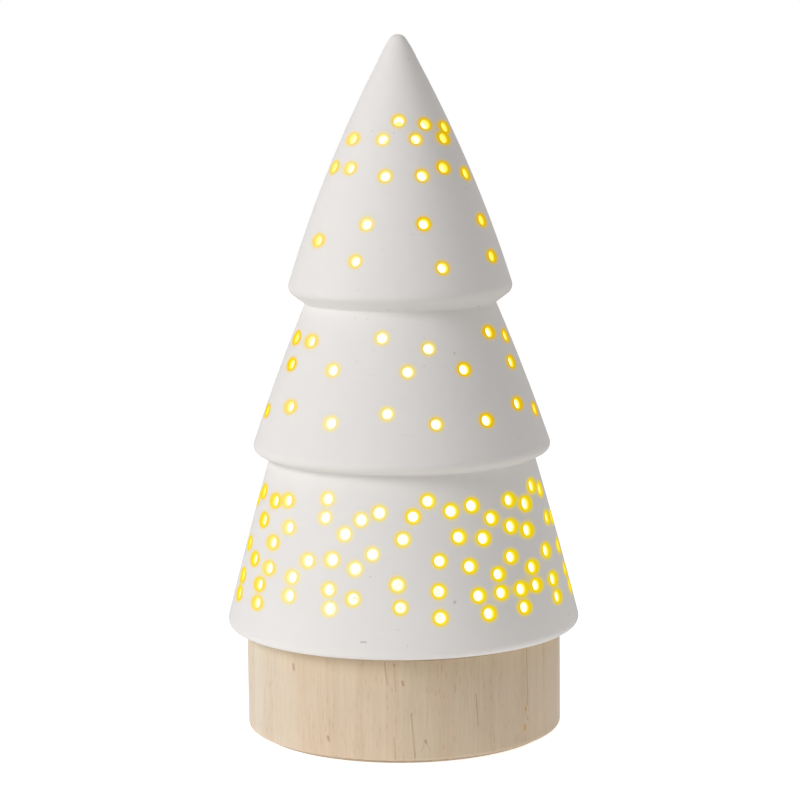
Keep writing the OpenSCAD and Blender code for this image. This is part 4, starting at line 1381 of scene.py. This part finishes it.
def cell_jacket(name, flat_end, way):
    """Finish of a cell whose flat end lies at flat_end and whose button points to +X or -X."""
    f = Finish(name, 0.32)
    length = f.maths("MULTIPLY", f.maths("SUBTRACT", f.along("X"), flat_end), float(way))
    past_foot = f.maths("GREATER_THAN", length, sleeve_ends[0])
    in_sleeve = f.maths("MULTIPLY", past_foot, f.maths("LESS_THAN", length, sleeve_ends[1]))
    copper = f.maths("GREATER_THAN", length, band_from)
    from_line = f.maths("ABSOLUTE", f.maths("SUBTRACT", length, band_from - 0.9))
    line = f.maths("LESS_THAN", from_line, 0.28)
    worn, scuffs = f.patches(f.place, 1.2, 0.6, 0.72, 0.35, detail=7.0, fineness=0.75)
    sleeve = f.blend(copper, f.clouded((0.05, 0.053, 0.06), 6.0, 0.25), (0.55, 0.27, 0.11))
    sleeve = f.blend(line, sleeve, (0.6, 0.58, 0.52))
    sleeve = f.blend(worn, sleeve, (0.4, 0.39, 0.37))
    f.put(Base_Color=f.blend(in_sleeve, f.clouded((0.66, 0.65, 0.63), 6.0, 0.25), sleeve))
    bare = f.maths("SUBTRACT", 1.0, in_sleeve)
    foil = f.maths("MULTIPLY", f.maths("MULTIPLY", copper, in_sleeve), 0.7)
    f.put(Metallic=f.maths("MAXIMUM", bare, foil), Roughness=f.maths("MULTIPLY_ADD", worn, 0.5, 0.3))
    f.relief(scuffs, 0.15, 0.04)
    return f.material


shoulder = cell_l - nub_h
cell_profile = [
    (0, 0.12), (3.6, 0.12), (3.9, 0), (cell_r - 0.55, 0), (cell_r - 0.15, 0.15), (cell_r, 0.55),
    (cell_r, 0.9), (cell_r - 0.06, 1.0), (cell_r - 0.06, shoulder - 3.2), (cell_r - 0.3, shoulder - 2.9),
    (cell_r - 0.3, shoulder - 2.5), (cell_r, shoulder - 2.2), (cell_r, shoulder - 0.7),
    (cell_r - 0.2, shoulder - 0.2), (cell_r - 0.6, shoulder), (cell_r - 1.0, shoulder),
    (cell_r - 1.2, shoulder - 0.25), (nub_r + 0.5, shoulder - 0.25), (nub_r + 0.15, shoulder),
    (nub_r, shoulder + 0.2), (nub_r, cell_l - 0.25), (nub_r - 0.25, cell_l), (0, cell_l),
]
# Each row of the bay: the y of its middle, and which way its button points
rows = {"front": (-cell_pitch, 1), "middle": (0, -1), "back": (cell_pitch, 1)}
for row, (row_y, way) in rows.items():
    flat_end = -way * (plate_x - spring_l)
    points, faces = lathe(cell_profile, 64)
    points = [(flat_end + way * z, row_y + way * x, cell_z + y) for x, y, z in points]
    jacket = cell_jacket("cell_" + row + "_sleeve", flat_end, way)
    mesh_piece("dressed_cell_" + row, points, faces, jacket, "base", "cell_" + row)

# %% [markdown]
# The contact springs are conical and wound from nickel plated wire. The wide end lies on its
# plate and the narrow one on the flat end of the cell. A screw modifier could wind them, but a
# helix by formula says where both ends lie.

# %% Springs
spring_turns = 3.5
spring_wide, spring_narrow = 3.6, 2.2
wire_d = 0.7
end_gap = 0.4
spring_steps = 84
helix = []
for t in np.arange(spring_steps + 1) / spring_steps:
    turn = 2 * math.pi * spring_turns * t
    r = spring_wide + (spring_narrow - spring_wide) * t
    helix.append((end_gap + (spring_l - 2 * end_gap) * t, r * math.cos(turn), r * math.sin(turn)))
for row, (row_y, way) in rows.items():
    route = [(-way * plate_x + way * x, row_y + way * y, cell_z + z) for x, y, z in helix]
    points, faces = wire(route, wire_d, 10, (0, 1, 0))
    mesh_piece("wound_spring_" + row, points, faces, nickel_wire, "base", "spring_" + row)

# %% [markdown]
# The leads are stranded wire in silicone. They keep the routes of the construction, and each end
# is rounded where it meets its tab or board. The strands could be twisted one by one, but the
# silicone hides them, so waves in the relief hint at them. Silicone is soft and catches dust,
# so its colour is clouded.

# %% Leads
lead_d = 1.2
red_battery_route = [
    (24.9, -11.3, 17.5), (22, -11.3, 17.5), (19.4, -13.2, 17.5), (16.4, -17, 17.5),
    (14, -20.2, 16.7), (12.3, -22.4, 14.8), (11.6, -23, 12.9), (11.6, -23, 11.2),
]
black_battery_route = [
    (-24.9, 11.3, 17.5), (-22, 11.3, 17.5), (-19.2, 9, 17.5), (-16.6, 3, 17.5),
    (-14.6, -5, 17.5), (-13.4, -13, 17.5), (-12.6, -18.6, 17.2), (-11.9, -21.8, 15.4),
    (-11.6, -23, 13), (-11.6, -23, 11.2),
]
red_lamp_route = [
    (4.6, -21.4, 11.2), (4.6, -21.4, 13.4), (4.2, -21.1, 15.6), (3, -19.6, 17.6),
    (1.8, -17.4, 19.2), (1.6, -16, 21.4), (2, -13.8, 25), (2.8, -10, 29.4),
    (3.4, -7, 32.6), (3.6, -6, 34.2), (3.6, -6, 35.7),
]
black_lamp_route = [(-x, y, z) for x, y, z in red_lamp_route]


def silicone(name, colour):
    f = Finish(name, 0.42)
    dust = f.patches(f.place, 1.5, 0.55, 0.75, 0.3, detail=6.0)[0]
    f.put(Base_Color=f.blend(dust, f.clouded(colour, 5.0, 0.35), (0.5, 0.45, 0.42)))
    f.relief(f.waves(f.place, 0.7, 2.0, "DIAGONAL"), 0.12, 0.05)
    return f.material


sleeves = {
    "red": silicone("red_silicone", (0.5, 0.02, 0.015)),
    "black": silicone("black_silicone", (0.022, 0.022, 0.024)),
}
for name, colour, route, start in (
    ("battery_lead", "red", red_battery_route, (0, 0, 1)),
    ("battery_lead", "black", black_battery_route, (0, 0, 1)),
    ("lamp_lead", "red", red_lamp_route, (1, 0, 0)),
    ("lamp_lead", "black", black_lamp_route, (1, 0, 0)),
):
    points, faces = wire(smooth_route(route, 6), lead_d, 12, start)
    node = name + "_" + colour
    mesh_piece("drawn_" + node, points, faces, sleeves[colour], "base", node)

# %% [markdown]
# ## The lamp
# Five warm white lights sit under a frosted dome. Seen from outside, a frosted dome over
# lights is a bright shape with soft warm pools where each light is nearest, and slightly dimmer
# and yellower near its foot. Real lamps could shine through a real frosted shell, but that is
# slow and full of noise, so the shell gives out its own soft light, more of it over each light.

# %% Lamp finishes
dome_r = 18.3
dome_t = 1.2
dome_z = 41.0
led_z = 36.9
led_top = 45.4
led_circle = 10
led_turns = np.radians((45, 135, 225, 315))
led_places = [(0, 0)] + [(led_circle * math.cos(a), led_circle * math.sin(a)) for a in led_turns]
# The pools of light lean out over the lights, because the dome does
pool_lean = 1.25
pool_rise = 11


def frosted_dome():
    f = Finish("frosted_dome", 0.55)
    f.put(Base_Color=f.clouded((0.665, 0.665, 0.68), 10.0, 0.05))
    climb = f.fade(f.along("Z"), led_z, dome_z + 14)
    glow = f.ramp(climb, (0.0, (0.16, 0.09, 0.03)), (0.35, (0.22, 0.18, 0.125)), (1.0, (0.25, 0.235, 0.21)))
    for x, y in led_places:
        above = (x * pool_lean, y * pool_lean, led_top + pool_rise)
        glow = f.blend(f.mark((x, y, led_top), above, 9.5, 0.45), glow, (0.4, 0.38, 0.345))
    f.glow(glow)
    f.relief(f.grit(5.0)["Height"], 0.3, 0.03)
    return f.material


def led_resin():
    """Clear cast resin over a yellow chip, seen lit from within."""
    f = Finish("led_resin", 0.12)
    climb = f.fade(f.along("Z"), led_z, led_top)
    f.put(Base_Color=f.ramp(climb, (0.0, (0.6, 0.42, 0.1)), (0.5, (0.9, 0.84, 0.68))))
    f.glow(f.ramp(climb, (0.0, (0.4, 0.22, 0.02)), (0.4, (1.0, 0.8, 0.4)), (1.0, (1.0, 0.92, 0.7))))
    return f.material


dress(led_resin(), "led_1", "led_2", "led_3", "led_4", "led_5")

# %% [markdown]
# The dome is a shell of even thickness with a slightly rounded foot. A solidify modifier could
# thicken one face. Here the outer and the inner face are turned apart, to their real sizes, and
# joined where they meet at the foot, so that the shell is closed and each face looks outwards.

# %% Dome
hollow_r = dome_r - dome_t
dome_profile = [(hollow_r, led_z), (dome_r - 0.2, led_z), (dome_r, led_z + 0.2), (dome_r, dome_z)]
dome_profile += [(dome_r * math.cos(a), dome_z + dome_r * math.sin(a)) for a in np.radians(range(4, 90, 4))]
dome_profile += [(0, dome_z + dome_r)]
hollow = [(0, dome_z + hollow_r)]
hollow += [(hollow_r * math.cos(a), dome_z + hollow_r * math.sin(a)) for a in np.radians(range(88, 0, -4))]
hollow += [(hollow_r, dome_z), (hollow_r, led_z)]
points, faces = lathe(dome_profile, 96)
inner_points, inner_faces = lathe(hollow, 96)
faces += [tuple(i + len(points) for i in f) for f in inner_faces]
dome = mesh_piece(
    "dome_shell", points + inner_points, faces, frosted_dome(), "base", "diffuser"
)
shape = bmesh.new()
shape.from_mesh(dome.data)
bmesh.ops.remove_doubles(shape, verts=shape.verts, dist=1e-6)
bmesh.ops.recalc_face_normals(shape, faces=shape.faces)
shape.to_mesh(dome.data)
shape.free()
print("open edges and volume in ml:", open_edges(dome.data))
